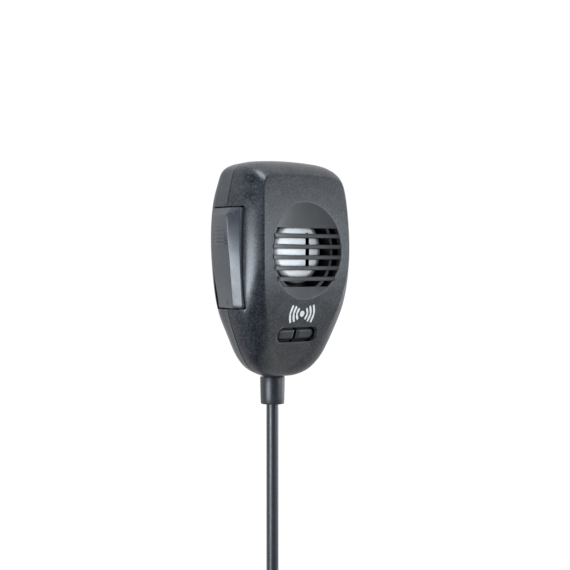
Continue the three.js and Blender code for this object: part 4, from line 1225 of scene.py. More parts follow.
@dataclass
class BackShell:
    """The back half, with its screw sinks and the neck that holds the cord's boot."""

    form: BodyForm
    draft: float = 0.4
    middle_z: float = -5.0
    sink: float = 2.9
    seat: float = 23.0
    neck: float = 4.1

    def skin(self, inset: float, start: float) -> list[Ring]:
        """Gives the rings of one skin, from the parting line over the back."""
        form = self.form
        outer = form.inset(form.rim, inset)
        z = outer[:, 1]
        sideways = np.minimum(1.0, np.abs(outer[:, 0]) / (0.25 * form.width))
        low = np.clip(z / form.bottom, 0.0, 1.0)
        room = form.back_y(z) - form.parting - 1.0
        corner = np.minimum(form.corner + form.corner_growth * low * sideways, room) - inset
        for _ in range(12):
            corner = 0.5 * corner + 0.25 * (np.roll(corner, 1) + np.roll(corner, -1))
        rings = []
        if inset == 0.0:
            rings.append(self.level(form.inset(outer, 0.1), start))
            rings.append(self.level(outer, start + 0.12))
        else:
            rings.append(self.level(outer, start))
        for share in (0.35, 0.7):
            ring = self.level(form.drawn_in(outer, self.draft * share), 0.0)
            ring[:, 1] = start + (form.back_y(z) - inset - corner - start) * share
            rings.append(ring)
        for step in range(11):
            angle = step / 10 * math.pi / 2
            ring = self.level(form.drawn_in(outer, self.draft + corner * (1 - math.cos(angle))), 0.0)
            ring[:, 1] = form.back_y(ring[:, 2]) - inset - corner * (1 - math.sin(angle))
            rings.append(ring)
        last = rings[-1]
        for share in (0.85, 0.65, 0.45, 0.25, 0.1):
            x = last[:, 0] * share
            inner_z = self.middle_z + (last[:, 2] - self.middle_z) * share
            rings.append(np.stack([x, form.back_y(inner_z) - inset, inner_z], axis=1))
        return rings

    @staticmethod
    def level(outline: np.ndarray, depth: float) -> Ring:
        """Gives an outline as a ring at one depth."""
        return np.insert(outline, 1, depth, axis=1)

    def rod(self, centre: tuple[float, float], start: float, end: float, radius: float) -> bpy.types.Object:
        """Gives a round cutter along Y."""
        profile = [(0.0, start), (radius, start), (radius, end), (0.0, end)]
        return Bench.turned("rod", profile, (centre[0], 0.0, centre[1]), "Y", 48)

    def upright(self, start: float, end: float, radius: float) -> bpy.types.Object:
        """Gives a round cutter along Z in line with the cord."""
        profile = [(0.0, start), (radius, start), (radius, end), (0.0, end)]
        return Bench.turned("upright", profile, (0.0, CORD_Y, 0.0), "Z", 48)

    def by_holes(self, point: Vector) -> bool:
        """Says whether a design point is on the rim of a screw sink."""
        for x, z in SHELL_SCREWS:
            if math.hypot(point.x - x, point.z - z) < self.sink + 0.1 and point.y > self.seat + 1.5:
                return True
        return False

    def build(self) -> bpy.types.Object:
        """Makes, cuts and dresses the shell."""
        form = self.form
        start = form.parting + form.gap / 2
        shell = Bench.loft("back_case", self.skin(0.0, start))
        Bench.cut(shell, [Bench.loft("hollow", self.skin(form.wall, start - 1.0))])
        bosses = []
        for x, z in SHELL_SCREWS:
            top = float(form.back_y(z)) - 1.1
            bosses.append(self.rod((x, z), start, top, 3.7))
        for x, z in CLAMP_POSTS:
            bosses.append(self.rod((x, z), form.parting + 2, float(form.back_y(z)) - 1.1, 2.4))
        for boss in bosses:
            Bench.cut(boss, [Bench.loft("within", self.skin(0.0, start))], "INTERSECT")
        Bench.cut(shell, bosses, "UNION")
        cutters = [self.rod(place, start - 1, form.back, SCREW_PILOT) for place in SHELL_SCREWS]
        cutters += [self.rod(place, self.seat, form.back + 3, self.sink) for place in SHELL_SCREWS]
        cutters += [self.rod(post, form.parting, form.parting + 7.5, SCREW_PILOT) for post in CLAMP_POSTS]
        cutters.append(self.rod((0.0, form.stud_height), form.back - 8, form.back + 2, 1.9))
        cutters.append(self.upright(form.bottom - 3, form.bottom + 5, self.neck))
        corners = [(-self.neck, 16.0), (self.neck, 16.0), (self.neck, CORD_Y), (-self.neck, CORD_Y)]
        channel = rounded(corners, 0.0, 1)
        cutters.append(Bench.loft("channel", plate(channel, form.bottom - 3, form.bottom + 5, "Z")))
        cutters.append(self.upright(-48.7, -44.4, 4.8))
        cutters.append(slot_cutter(form))
        Bench.cut(shell, cutters)
        Bench.soften(shell, 0.35, by_slot)
        Bench.soften(shell, 0.3, self.by_holes)
        Bench.smooth(shell)
        return hand_over(shell, Finish.SATIN, "housing", "back_shell")


@dataclass
class ReturnSpring:
    """The lever's coil spring."""

    outer: float = -29.5
    seat: float = -21.8
    y: float = 16.0
    z: float = -6.0
    radius: float = 1.9
    wire: float = 0.28
    turns: int = 5
    kept: float = 0.86

    def build(self) -> bpy.types.Object:
        """Winds and dresses the spring, its end turns close together."""
        steps = self.turns * 20
        length = self.seat - self.outer - 2 * self.wire
        rings = []
        for k in range(steps + 1):
            t = k / steps
            a = 2 * math.pi * self.turns * t
            along = self.outer + self.wire + length * t * t * (3 - 2 * t)
            out = np.array([0.0, math.cos(a), math.sin(a)])
            ring = []
            for i in range(10):
                b = 2 * math.pi * i / 10
                point = np.array([along, self.y, self.z]) + out * (self.radius + self.wire * math.cos(b))
                ring.append(point + np.array([self.wire * math.sin(b), 0.0, 0.0]))
            rings.append(np.array(ring))
        spring = Bench.loft("return_spring", rings)
        Bench.smooth(spring, 50.0)
        hand_over(spring, Finish.STEEL, "housing", "ptt_return_spring")
        Mould.place((self.seat, self.y, self.z))
        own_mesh(spring)
        return spring


@dataclass
class PttLever:
    """The press-to-talk bar in the body's side: a slanted front facet, a ridge and fine ribs."""

    front: float = 8.1
    back: float = 24.9
    bottom: float = -23.3
    top: float = 16.5
    top_end: float = 17.1
    outer_top: float = 14.3
    chamfer: float = 2.6
    ridge_y: float = 12.0
    inner_x: float = -26.0
    ribs: int = 6
    rib_pitch: float = 1.46
    rib_low: float = 2.6

    RIDGE = (
        (-24.0, -30.7), (-16.0, -31.4), (-9.0, -32.1), (-3.0, -32.7), (2.0, -33.2),
        (8.0, -33.8), (17.0, -34.5),
    )
    EDGE = (
        (-24.0, -29.0), (-16.0, -29.5), (-9.0, -30.0), (-3.0, -30.3), (2.0, -30.4),
        (8.0, -30.4), (17.0, -30.0),
    )
    HEEL = (
        (-24.0, -27.2), (-20.0, -27.8), (-15.0, -28.9), (-10.0, -30.0), (-3.0, -30.8),
        (4.0, -31.1), (17.0, -30.9),
    )

    @staticmethod
    def along(line: Outline, z: float) -> float:
        """Gives a line's X at a height, eased between its points."""
        heights = np.array([point[0] for point in line])
        values = np.array([point[1] for point in line])
        near = np.linspace(z - 2.5, z + 2.5, 11)
        return float(np.interp(near, heights, values).mean())

    def ring(self, share: float, inset: float) -> Ring:
        """Gives a ring of the bar.

        Args:
            share: 0 at the bottom end, 1 at the top end.
            inset: How far the ring is drawn in, for the ends' rounding.

        Returns:
            Design points.
        """
        z = self.bottom + (self.outer_top - self.bottom) * share
        edge, ridge, heel = (self.along(line, z) for line in (self.EDGE, self.RIDGE, self.HEEL))
        corners = [
            (self.inner_x, self.front), (edge, self.front), (ridge, self.ridge_y),
            (heel, self.back - 0.7), (heel + 0.7, self.back), (self.inner_x, self.back),
        ]
        flat = rounded(corners, [0.2, 0.55, 0.75, 0.5, 0.5, 0.2], 5)
        middle = np.array([(edge + self.inner_x) / 2, (self.front + self.back) / 2])
        away = flat - middle
        away /= np.linalg.norm(away, axis=1, keepdims=True)
        flat = flat - away * inset
        slant = np.clip((self.ridge_y - flat[:, 1]) / (self.ridge_y - self.front), 0.0, 1.0)
        tops = self.outer_top + (self.top - self.outer_top) * slant
        heights = self.bottom + (tops - self.bottom) * share
        return np.stack([flat[:, 0], flat[:, 1], heights], axis=1)

    def cap(self) -> Ring:
        """Gives the ring of the top end, drawn in behind a chamfer along the ridge."""
        ring = self.ring(1.0, 0.0)
        edge = self.along(self.EDGE, self.outer_top)
        ridge = self.along(self.RIDGE, self.outer_top)
        proud = np.clip((edge - ring[:, 0]) / (edge - ridge), 0.0, 1.0)
        ring[:, 0] += self.chamfer * proud
        ring[:, 2] = self.top_end
        return ring

    def rib(self) -> bpy.types.Object:
        """Makes one rib, which lies on the outer face behind the ridge."""
        z = self.rib_low + self.rib_pitch * 2
        ridge = np.array([self.along(self.RIDGE, z), self.ridge_y])
        heel = np.array([self.along(self.HEEL, z), self.back - 0.7])
        start = ridge * 0.93 + heel * 0.07
        end = ridge * 0.2 + heel * 0.8
        path = bent(start, (start + end) / 2, end, 14)
        rings = []
        for k, point in enumerate(path):
            size = 0.5 * min(1.0, 0.25 + 0.9 * min(k, len(path) - 1 - k) / 2)
            ahead = path[min(k + 1, len(path) - 1)] - path[max(k - 1, 0)]
            ahead /= np.linalg.norm(ahead)
            across = np.array([ahead[1], -ahead[0]])
            ring = []
            for i in range(12):
                a = 2 * math.pi * i / 12
                side = point + across * size * 0.8 * math.cos(a)
                ring.append((side[0], side[1], size * math.sin(a)))
            rings.append(np.array(ring))
        return Bench.loft("rib", rings)

    @staticmethod
    def spring_pocket() -> bpy.types.Object:
        """Gives the cutter of the blind hole that the return spring stands in."""
        angles = np.linspace(0.0, 2 * math.pi, 32, endpoint=False)
        spring, hole = ReturnSpring, 2.6
        outline = np.stack([spring.y + hole * np.cos(angles), spring.z + hole * np.sin(angles)], axis=1)
        return Bench.loft("spring_pocket", plate(outline, spring.outer - 0.3, -25.0, "X"))

    def inner_parts(self) -> list[bpy.types.Object]:
        """Makes the nose that works the switch, the stop tongue, and the pivot's lug and arm."""
        parts = []
        boxes = {
            "nose": ((-30.0, -25.6), (13.5, 18.0), (5.0, 9.0)),
            "tongue": ((-25.6, -24.3), (13.5, 18.0), (11.5, 19.8)),
            "root": ((-30.0, -24.3), (13.5, 18.0), (11.5, 14.0)),
            "arm": ((-30.0, -28.0), (12.5, 16.5), (-22.0, -17.2)),
        }
        for name, (x, y, z) in boxes.items():
            outline = rounded([(x[0], z[0]), (x[1], z[0]), (x[1], z[1]), (x[0], z[1])], 0.3, 2)
            parts.append(Bench.loft(name, plate(outline, y[0], y[1], "Y")))
        lug = [(1.5, 12.5), (2.6, 12.5), (2.6, 16.5), (1.5, 16.5)]
        parts.append(Bench.turned("lug", lug, (-25.8, 0.0, -19.6), "Y", 32))
        return parts

    def build(self) -> bpy.types.Object:
        """Makes and dresses the lever."""
        stations = [(0.0, 0.5), (0.003, 0.2), (0.011, 0.0)]
        stations += [(0.011 + 0.978 * k / 28, 0.0) for k in range(1, 28)]
        rings = [self.ring(share, inset) for share, inset in [*stations, (0.997, 0.0)]]
        full, cap = self.ring(1.0, 0.0), self.cap()
        rings += bent(rings[-1], full, full * 0.85 + cap * 0.15, 3)[1:]
        rings += [full * 0.15 + cap * 0.85, cap, cap * 0.98 + cap.mean(axis=0) * 0.02]
        bar = Bench.loft("bar", rings)
        Bench.cut(bar, [self.spring_pocket()])
        Bench.smooth(bar, 35.0)
        spots = [(0.0, 0.0, self.rib_low + self.rib_pitch * k) for k in range(self.ribs)]
        ribs = repeated("lever_ribs", at_origin(self.rib()), spots, 0.0, Finish.LEVER)
        Bench.smooth(ribs, 50.0)
        parts = self.inner_parts()
        for part in parts:
            Bench.smooth(part)
        lever = Bench.join("talk_lever", [bar, ribs, *parts])
        return hand_over(lever, Finish.LEVER, "ptt_lever", "ptt_lever")


@dataclass
class ChannelKeys:
    """The two rubbery key pads in their window under the grille."""

    form: BodyForm
    half_length: float = 10.2
    half_height: float = 2.1
    gap: float = 0.8
    recess: float = 1.3
    centre_z: float = KEY_ROW_Z
    tact_x: float = 6.0
    stem: float = 3.0

    def outline(self, inset: float, side: int, grow: float = 0.0) -> np.ndarray:
        """Gives a pad's outline (X, Z)."""
        low, high = self.gap + inset, self.half_length - inset + grow
        tall = self.half_height - inset + grow
        corners = [(low, -tall), (high, -tall), (high, tall), (low, tall)]
        flat = rounded(corners, [0.4, tall * 0.99, tall * 0.99, 0.4], 10)
        return flat * np.array([side, 1.0]) + np.array([0.0, self.centre_z])

    def pad(self, side: int) -> bpy.types.Object:
        """Makes one key: its pad, its flange behind the face, and its stem."""
        rings = []
        levels = ((1.6, -0.16), (1.1, -0.13), (0.6, -0.04), (0.3, 0.08), (0.1, 0.28), (0.0, 0.55), (0.0, 2.3))
        for inset, depth in levels:
            rings.append(self.form.face_ring(self.outline(inset, side), self.recess + depth))
        pad = Bench.loft("pad", rings)
        Bench.smooth(pad, 45.0)
        flange_rings = [self.form.face_ring(self.outline(0.0, side, 1.6), depth) for depth in (3.1, 4.1)]
        flange = Bench.loft("flange", flange_rings)
        stem_x = side * self.tact_x
        left, right = stem_x - self.stem / 2, stem_x + self.stem / 2
        low, high = self.centre_z - self.stem / 2, self.centre_z + self.stem / 2
        stem = rounded([(left, low), (right, low), (right, high), (left, high)], 0.3, 2)
        post = Bench.loft("stem", plate(stem, 9.4, 13.6, "Y"))
        name = "left" if side < 0 else "right"
        key = Bench.join(f"key_{name}", [pad, flange, post])
        return hand_over(key, Finish.KEY, f"{name}_key", f"channel_key_{name}")

    def build(self) -> None:
        """Makes both keys."""
        for side in (-1, 1):
            self.pad(side)


# ---- Capsule, mark and stud ----------------------------------------------------------------------


@dataclass
class Capsule:
    """The shallow metal cap behind the grille, with an upright vent slot."""

    radius: float = 14.0
    front: float = 5.4
    dome: float = 0.8
    back: float = 13.5
    sheet: float = 0.5
    vent_x: float = 5.0
    vent_width: float = 2.2
    vent_height: float = 15.0

    def vent(self) -> bpy.types.Object:
        """Gives the cutter of the upright vent slot beside the middle."""
        outline = np.array(stadium(self.vent_height / 2, self.vent_width / 2, 8))[:, ::-1]
        outline = outline + np.array([self.vent_x, 0.0])
        return Bench.loft("vent_cutter", plate(outline, self.front - 2.0, self.front + 4.0, "Y"))

    def build(self) -> bpy.types.Object:
        """Makes and dresses the cap."""
        edge = self.radius - 1.1
        shares = [k / 14 for k in range(14) if self.radius * k / 14 < edge]
        outer = [(self.radius * share, self.front + self.dome * share**2) for share in shares]
        rim_y = self.front + self.dome * (edge / self.radius) ** 2
        bend = [
            (edge + 1.1 * math.sin(a), rim_y + 0.35 + 1.1 * (1 - math.cos(a)))
            for a in (0.15, 0.4, 0.7, 1.0, 1.3, math.pi / 2)
        ]
        outer += [*bend, (self.radius, self.back)]
        inner = [(max(0.0, r - self.sheet), min(y + self.sheet, self.back)) for r, y in outer]
        profile = [*outer, *reversed(inner)]
        cap = Bench.turned("capsule_dome", profile, (0.0, 0.0, 0.0), "Y", 96)
        Bench.cut(cap, [self.vent()])
        Bench.smooth(cap, 40.0)
        return hand_over(cap, Finish.CAP, "housing", "capsule_cap")


@dataclass
class SoundMark:
    """A printed mark between the grille and the keys: a dot with sound arcs on both sides."""

    form: BodyForm
    centre_z: float = -26.0
    height: float = 0.05
    dot: float = 1.25
    half_stroke: float = 0.42

    def strip(self, name: str, outline: np.ndarray) -> bpy.types.Object:
        """Makes a thin print of an outline on the face."""
        flat = outline + np.array([0.0, self.centre_z])
        return Bench.loft(name, [self.form.face_ring(flat, -self.height), self.form.face_ring(flat, 0.4)])

    def arc(self, name: str, radius: float, spread: float, side: int) -> bpy.types.Object:
        """Makes one arc of the mark."""
        outline = []
        steps = 16
        outside = (radius + self.half_stroke, range(steps + 1))
        inside = (radius - self.half_stroke, range(steps, -1, -1))
        for edge, order in (outside, inside):
            for k in order:
                a = math.radians(spread) * (2 * k / steps - 1)
                outline.append((side * edge * math.cos(a), edge * math.sin(a)))
        return self.strip(name, np.array(outline))

    def build(self) -> bpy.types.Object:
        """Makes and dresses the mark."""
        turns = [2 * math.pi * k / 32 for k in range(32)]
        dot = [(self.dot * math.cos(a), self.dot * math.sin(a)) for a in turns]
        prints = [self.strip("dot", np.array(dot))]
        for side in (-1, 1):
            for radius, spread in ((3.0, 48.0), (4.9, 40.0), (6.8, 32.0)):
                prints.append(self.arc("arc", radius, spread, side))
        mark = Bench.join("sound_mark", prints)
        return hand_over(mark, Finish.PRINT, "housing")


@dataclass
class Stud:
    """The hang-up stud on the back, and the screws of the shells."""

    form: BodyForm
    face: float = 37.0
    radius: float = 8.0
    disc: float = 2.6
    neck: float = 4.2

    def build_stud(self) -> bpy.types.Object:
        """Makes and dresses the stud."""
        face, radius = self.face, self.radius
        under = face - self.disc
        profile = [
            (0.0, face), (radius - 0.6, face), (radius - 0.25, face - 0.1), (radius, face - 0.4),
            (radius, under + 0.5), (radius - 0.3, under), (self.neck + 0.8, under - 0.75),
            (self.neck + 0.2, under - 1.1), (self.neck, under - 1.6),
            (self.neck, 30.3), (1.9, 30.3), (1.9, face - 1.8), (0.0, face - 1.8),
        ]
        stud = Bench.turned("stud", profile, (0.0, 0.0, self.form.stud_height), "Y", 96)
        Bench.smooth(stud, 30.0)
        return hand_over(stud, Finish.STEEL, "housing", "hang_up_stud")

    def build_screws(self) -> bpy.types.Object:
        """Makes the four shell screws with cross recesses."""
        profile = [
            (0.0, 9.5), (0.95, 10.1), (0.95, 23.3), (2.6, 23.3), (2.6, 23.8), (2.3, 24.6), (1.6, 25.0),
            (0.0, 25.15),
        ]
        screw = Bench.turned("screw", profile, (0.0, 0.0, 0.0), "Y", 40)
        bars = []
        for wide, tall in ((1.5, 0.3), (0.3, 1.5)):
            outline = [(-wide, -tall), (wide, -tall), (wide, tall), (-wide, tall)]
            bars.append(Bench.loft("cross", plate(outline, 24.2, 26.0, "Y")))
        Bench.cut(screw, bars)
        Bench.smooth(screw, 30.0)
        places = [(x, 0.0, z) for x, z in SHELL_SCREWS]
        screws = repeated("case_screws", at_origin(screw), places, 0.0, Finish.STEEL)
        names = [f"shell_screw_{i + 1}" for i in range(4)]
        return hand_over(screws, Finish.STEEL, "housing", *names)


# ---- Cord -----------------------------------------------------------------------------------------


@dataclass
class Cord:
    """The free cord: straight lead, curly stretch hung up in two loops, tail and plug."""

    radius: float = 2.6
    line_y: float = CORD_Y
    boot_top: float = -52.7
    boot_end: float = -64.3
    start: float = -60.3
    lead_bottom: float = -141.0
    bend: float = 13.0
    ring: float = 30.0
    step: float = 14.9
    loops: int = 2
    coil: float = 4.6
    turns: int = 65
    per_turn: int = 24
    opening: float = 16.0
    tail: float = 52.0

    TIE_SECTION = (
        (0.95, -5.5), (1.2, -5.2), (1.2, 5.2), (0.95, 5.5),
        (0.25, 5.5), (0.0, 5.2), (0.0, -5.2), (0.25, -5.5),
    )

    def __post_init__(self) -> None:
        """Works out where the loops start and end."""
        reach = self.ring + self.bend
        self.centre_z = self.lead_bottom - math.sqrt(reach**2 - self.bend**2)
        self.first = math.asin(self.bend / reach)
        self.last = math.pi / 2 + 2 * math.pi * self.loops

    def loop_point(self, angle: float) -> np.ndarray:
        """Gives a point of the loops' centre line."""
        share = (angle - self.first) / (2 * math.pi)
        return np.array([
            self.ring * math.sin(angle),
            self.line_y - self.step * share,
            self.centre_z + self.ring * math.cos(angle),
        ])

    def path(self) -> np.ndarray:
        """Gives the cord's own centre line."""
        points = [np.array([0.0, self.line_y, z]) for z in np.linspace(self.start, self.lead_bottom, 18)]
        sweep = math.pi / 2 - self.first
        for k in range(1, 10):
            a = sweep * k / 10
            points.append(np.array([
                self.bend * (1 - math.cos(a)), self.line_y, self.lead_bottom - self.bend * math.sin(a)
            ]))
        count = self.turns * self.per_turn
        run = np.linspace(0.0, 1.0, count + 1) * self.ring * (self.last - self.first)
        near_end = np.clip(np.minimum(run, run[-1] - run) / self.opening, 0.0, 1.0)
        ramp = near_end**2 * (3 - 2 * near_end)
        phases = np.cumsum(0.12 + 0.88 * ramp)
        phases *= 2 * math.pi * self.turns / phases[-1]
        for k in range(count + 1):
            angle = self.first + (self.last - self.first) * k / count
            centre = self.loop_point(angle)
            outward = np.array([math.sin(angle), 0.0, math.cos(angle)])
            ahead = self.loop_point(angle + 1e-3) - centre
            side = np.cross(ahead / np.linalg.norm(ahead), outward)
            size = self.coil * ramp[k]
            points.append(centre + size * (outward * math.cos(phases[k]) + side * math.sin(phases[k])))
        end = self.loop_point(self.last)
        for k in range(1, 13):
            points.append(end - np.array([0.0, 0.0, self.tail * k / 12]))
        return np.array(points)

    def build_boot(self) -> bpy.types.Object:
        """Makes the strain relief under the body."""
        top, end, hole = self.boot_top, self.boot_end, self.radius + 0.3
        profile = [
            (hole, end + 1.0), (hole + 0.5, end + 0.1), (4.5, end), (4.8, end + 0.12), (4.95, end + 0.5),
            (5.05, end + 3.0), (5.15, -56.5), (5.22, top - 0.5), (5.05, top - 0.12), (4.7, top), (3.8, top),
            (3.8, -48.4), (4.5, -48.4), (4.5, -46.8), (hole, -46.8),
        ]
        boot = Bench.turned("strain_relief", profile, (0.0, self.line_y, 0.0), "Z", 64)
        Bench.smooth(boot, 30.0)
        return hand_over(boot, Finish.BOOT, "housing", "cord_boot")

    def build_tie(self) -> bpy.types.Object:
        """Makes the strap round both loops near their top."""
        angle = math.radians(-42.0)
        front = self.loop_point(angle + 4 * math.pi)[1]
        behind = self.loop_point(angle + 2 * math.pi)[1]
        half = 7.2 + 1.1
        rings = []
        for grow, at in self.TIE_SECTION:
            corners = [
                (front - half - grow, -half - grow), (behind + half + grow, -half - grow),
                (behind + half + grow, half + grow), (front - half - grow, half + grow),
            ]
            flat = rounded(corners, 6.6 + grow, 12)
            local = np.stack([np.full(len(flat), at), flat[:, 0], flat[:, 1] + self.ring], axis=1)
            x = local[:, 0] * math.cos(angle) + local[:, 2] * math.sin(angle)
            z = -local[:, 0] * math.sin(angle) + local[:, 2] * math.cos(angle)
            rings.append(np.stack([x, local[:, 1], z + self.centre_z], axis=1))
        tie = Bench.loft("tie_strap", rings, wrap=True)
        Bench.smooth(tie, 50.0)
        return hand_over(tie, Finish.STRAP, "housing", "cord_tie")

    def build_plug(self) -> list[bpy.types.Object]:
        """Makes the plug's boot, barrel, coupling ring and contacts."""
        x, y, _ = self.loop_point(self.last)
        foot = -261.29
        centre = (float(x), float(y), foot)
        boot = [(2.9, 24.3), (6.3, 24.3), (6.6, 24.6)]
        for k in range(4):
            at = 27.6 + 2.7 * k
            size = 6.15 - 0.5 * k
            groove = size - 0.55
            boot += [(size, at - 0.55), (groove, at - 0.3), (groove, at + 0.3), (size - 0.15, at + 0.55)]
        boot += [(4.3, 38.6), (3.9, 39.29), (3.2, 39.29), (2.9, 38.9)]
        plug_boot = Bench.turned("plug_sleeve", boot, centre, "Z", 48)
        Bench.smooth(plug_boot, 40.0)
        hand_over(plug_boot, Finish.BOOT, "housing", "plug_boot")
        barrel = [
            (6.5, 1.0), (7.1, 1.0), (7.4, 1.3), (7.4, 12.9), (7.9, 13.3), (8.2, 13.7), (8.2, 15.4),
            (7.9, 15.7), (7.9, 16.3), (8.2, 16.6), (8.2, 23.5), (7.8, 24.0), (2.9, 24.0), (2.9, 22.6),
            (6.5, 21.0),
        ]
        sleeve = Bench.turned("plug_body", barrel, centre, "Z", 72)
        Bench.smooth(sleeve, 30.0)
        hand_over(sleeve, Finish.NICKEL, "housing", "plug_barrel")
        collar = [
            (7.7, 0.0), (9.1, 0.0), (9.35, 0.3), (9.35, 1.6), (9.1, 1.9), (9.1, 10.6), (9.35, 10.9),
            (9.35, 12.3), (9.1, 12.7), (7.7, 12.7),
        ]
        ring = Bench.turned("collar", collar, centre, "Z", 96)
        Bench.smooth(ring, 30.0)
        count = 44
        ridge = rounded([(-0.38, 8.9), (0.38, 8.9), (0.12, 9.55), (-0.12, 9.55)], 0.05, 2)
        tooth = at_origin(Bench.loft("ridge", plate(ridge, 2.1, 10.4, "Z")))
        teeth = repeated("knurl", tooth, [centre] * count, 2 * math.pi / count, Finish.NICKEL)
        coupling = Bench.join("coupling_nut", [ring, teeth])
        hand_over(coupling, Finish.NICKEL, "coupling_ring", "plug_coupling_ring")
        sleeve_wall = [(0.25, 0.6), (0.55, 0.6), (0.62, 0.75), (0.62, 4.6), (0.25, 4.6)]
        socket = Bench.turned("socket", sleeve_wall, (0.0, 0.0, 0.0), "Z", 24)
        Bench.smooth(socket, 30.0)
        angles = [(k + 0.5) / 7 * 2 * math.pi for k in range(7)]
        places = [(x + 4 * math.cos(a), y + 4 * math.sin(a), foot) for a in angles]
        contacts = repeated("plug_contacts", at_origin(socket), places, 0.0, Finish.BRASS)
        hand_over(contacts, Finish.BRASS, "housing")
        return [plug_boot, sleeve, coupling, contacts]

    def build(self) -> bpy.types.Object:
        self.build_boot()
        tie = self.build_tie()
        plug = self.build_plug()
        path = self.path()
        placed = Mould.places(path)
        line = bpy.data.curves.new("free_cord", "CURVE")
        line.dimensions = "3D"
        line.bevel_depth = self.radius * MM
        line.bevel_resolution = 4
        line.use_fill_caps = True
        spline = line.splines.new("POLY")
        spline.points.add(len(placed) - 1)
        spline.points.foreach_set("co", np.insert(placed, 3, 1.0, axis=1).ravel())
        spline.use_smooth = True
        cord = bpy.data.objects.new("free_cord", line)
        bpy.context.scene.collection.objects.link(cord)
        line.materials.append(Wardrobe.of(Finish.JACKET))
        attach(cord, "housing")
        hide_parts("cord_lead", "curly_cord", "cord_tail")
        leaves = Mould.place((0.0, self.line_y, self.boot_end))
        return cord


# ---- Pieces shown as their CAD nodes ------------------------------------------------------------

DRESSES = {
    Finish.STEEL: (
        "ptt_bracket", "ptt_pivot_pin", "capsule_retainer", "board_screw_1", "board_screw_2",
        "board_screw_3", "stud_washer", "stud_screw", "cord_clamp", "clamp_screw_1", "clamp_screw_2",
    ),
    Finish.DARK_PART: (
        "ptt_spring_seat", "ptt_switch_body", "tact_switch_left", "tact_switch_right", "capsule_body",
        "amplifier_chip", "smoothing_capacitor", "plug_insert",
    ),
    Finish.IVORY_PART: ("ptt_switch_plunger", "tact_plunger_left", "tact_plunger_right", "cord_connector"),
    Finish.RUBBER: ("capsule_rubber_ring",),
    Finish.JACKET: ("cord_inner_end",),
    Finish.LAMINATE: ("circuit_board",),
    Finish.RED_WIRE: ("cord_wire_red",),
    Finish.WHITE_WIRE: ("cord_wire_white",),
    Finish.BLUE_WIRE: ("cord_wire_blue",),
}


def dress_nodes(nodes: dict[str, bpy.types.Object]) -> None:
    """Gives every CAD node that stays shown its finish."""
    for finish, names in DRESSES.items():
        for name in names:
            Wardrobe.dress_node(nodes[name], finish)


# ---- Studio ----------------------------------------------------------------------------------------


@dataclass(frozen=True)
class SoftBox:
    """A flat light on a sphere round the microphone's head."""

    name: str
    azimuth: float
    elevation: float
    distance: float
    width: float
    height: float
    watts: float

    def build(self, aim: Vector) -> bpy.types.Object:
        """Makes the light, facing the aim."""
        away = Studio.direction(self.azimuth, self.elevation)
        lamp = bpy.data.lights.new(self.name, "AREA")
        lamp.shape = "RECTANGLE"
        lamp.size = self.width
        lamp.size_y = self.height
        lamp.energy = self.watts
        lamp.color = (0.84, 0.92, 1.0)
        piece = bpy.data.objects.new(self.name, lamp)
        piece.location = aim + away * self.distance
        piece.rotation_mode = "QUATERNION"
        piece.rotation_quaternion = (-away).to_track_quat("-Z", "Y")
        bpy.context.scene.collection.objects.link(piece)
        return piece


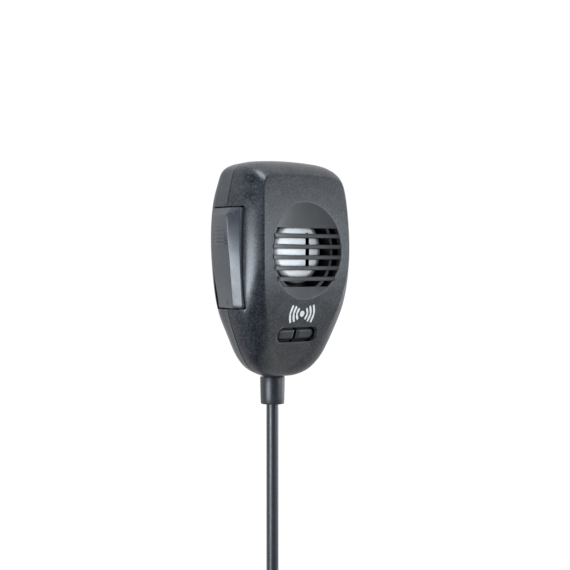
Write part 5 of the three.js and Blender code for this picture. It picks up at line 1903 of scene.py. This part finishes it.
@dataclass
class Studio:
    """Camera, lights and the white surround."""

    azimuth: float = -44.0
    elevation: float = 0.75
    distance: float = 0.5645
    lens: float = 87.0
    aside: float = -9.5
    lower: float = -14.1

    BOXES = (
        SoftBox("key_box", -82.0, -7.0, 0.9, 0.4, 0.3, 9.5),
        SoftBox("front_box", 31.0, 0.0, 0.9, 0.45, 0.36, 3.2),
        SoftBox("overhead_box", -30.0, 70.0, 0.8, 0.5, 0.5, 8.0),
        SoftBox("right_strip", 78.0, 0.0, 0.9, 0.16, 0.5, 2.5),
    )

    @staticmethod
    def direction(azimuth: float, elevation: float) -> Vector:
        """Gives the direction from the object to a place seen at an azimuth and an elevation."""
        a, e = math.radians(azimuth), math.radians(elevation)
        return Vector((math.sin(a) * math.cos(e), -math.cos(a) * math.cos(e), math.sin(e)))

    def build_camera(self) -> None:
        """Makes the camera."""
        back = self.direction(self.azimuth, self.elevation)
        right = self.direction(self.azimuth + 90.0, 0.0)
        aim = Mould.place((0.0, 0.0, self.lower)) + right * self.aside * MM
        data = bpy.data.cameras.new("camera")
        data.lens = self.lens
        data.sensor_width = 36.0
        data.clip_start = 0.02
        camera = bpy.data.objects.new("camera", data)
        camera.location = aim + back * self.distance
        camera.rotation_mode = "QUATERNION"
        camera.rotation_quaternion = (-back).to_track_quat("-Z", "Y")
        bpy.context.scene.collection.objects.link(camera)
        bpy.context.scene.camera = camera

    def build_world(self) -> None:
        """Makes the surround: a white backdrop behind the microphone, dim in front of it."""
        world = bpy.data.worlds.new("surround")
        world.use_nodes = True
        tree = world.node_tree
        tree.nodes.clear()
        where = tree.nodes.new("ShaderNodeTexCoord")
        toward = -self.direction(self.azimuth, 0.0)
        facing = tree.nodes.new("ShaderNodeVectorMath")
        facing.operation = "DOT_PRODUCT"
        facing.inputs[1].default_value = toward
        tree.links.new(where.outputs["Generated"], facing.inputs[0])
        ramp = tree.nodes.new("ShaderNodeMapRange")
        ramp.interpolation_type = "SMOOTHSTEP"
        ramp.inputs["From Min"].default_value = -0.35
        ramp.inputs["From Max"].default_value = 0.35
        ramp.inputs["To Min"].default_value = 0.05
        ramp.inputs["To Max"].default_value = 1.02
        tree.links.new(facing.outputs["Value"], ramp.inputs["Value"])
        shade = tree.nodes.new("ShaderNodeBackground")
        shade.inputs["Color"].default_value = (1.0, 1.0, 1.0, 1.0)
        tree.links.new(ramp.outputs[0], shade.inputs["Strength"])
        out = tree.nodes.new("ShaderNodeOutputWorld")
        tree.links.new(shade.outputs[0], out.inputs["Surface"])
        bpy.context.scene.world = world

    def build(self) -> None:
        """Makes the camera, the lights and the world."""
        scene = bpy.context.scene
        scene.view_settings.view_transform = "Standard"
        scene.view_settings.look = "None"
        self.build_camera()
        self.build_world()
        aim = Mould.place((0.0, 10.0, -10.0))
        for box in self.BOXES:
            box.build(aim)


def main() -> None:
    """Builds the microphone and its studio."""
    logging.basicConfig(level=logging.INFO, format="%(name)s %(message)s")
    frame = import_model()
    Mould.settle()
    Studio().build()
    Cord().build()
    form = BodyForm()
    FrontShell(form, Grille()).build()
    BackShell(form).build()
    PttLever().build()
    ReturnSpring().build()
    ChannelKeys(form).build()
    Capsule().build()
    SoundMark(form).build()
    stud = Stud(form)
    stud.build_stud()
    stud.build_screws()
    dress_nodes(frame["nodes"])


if __name__ == "__main__":
    main()
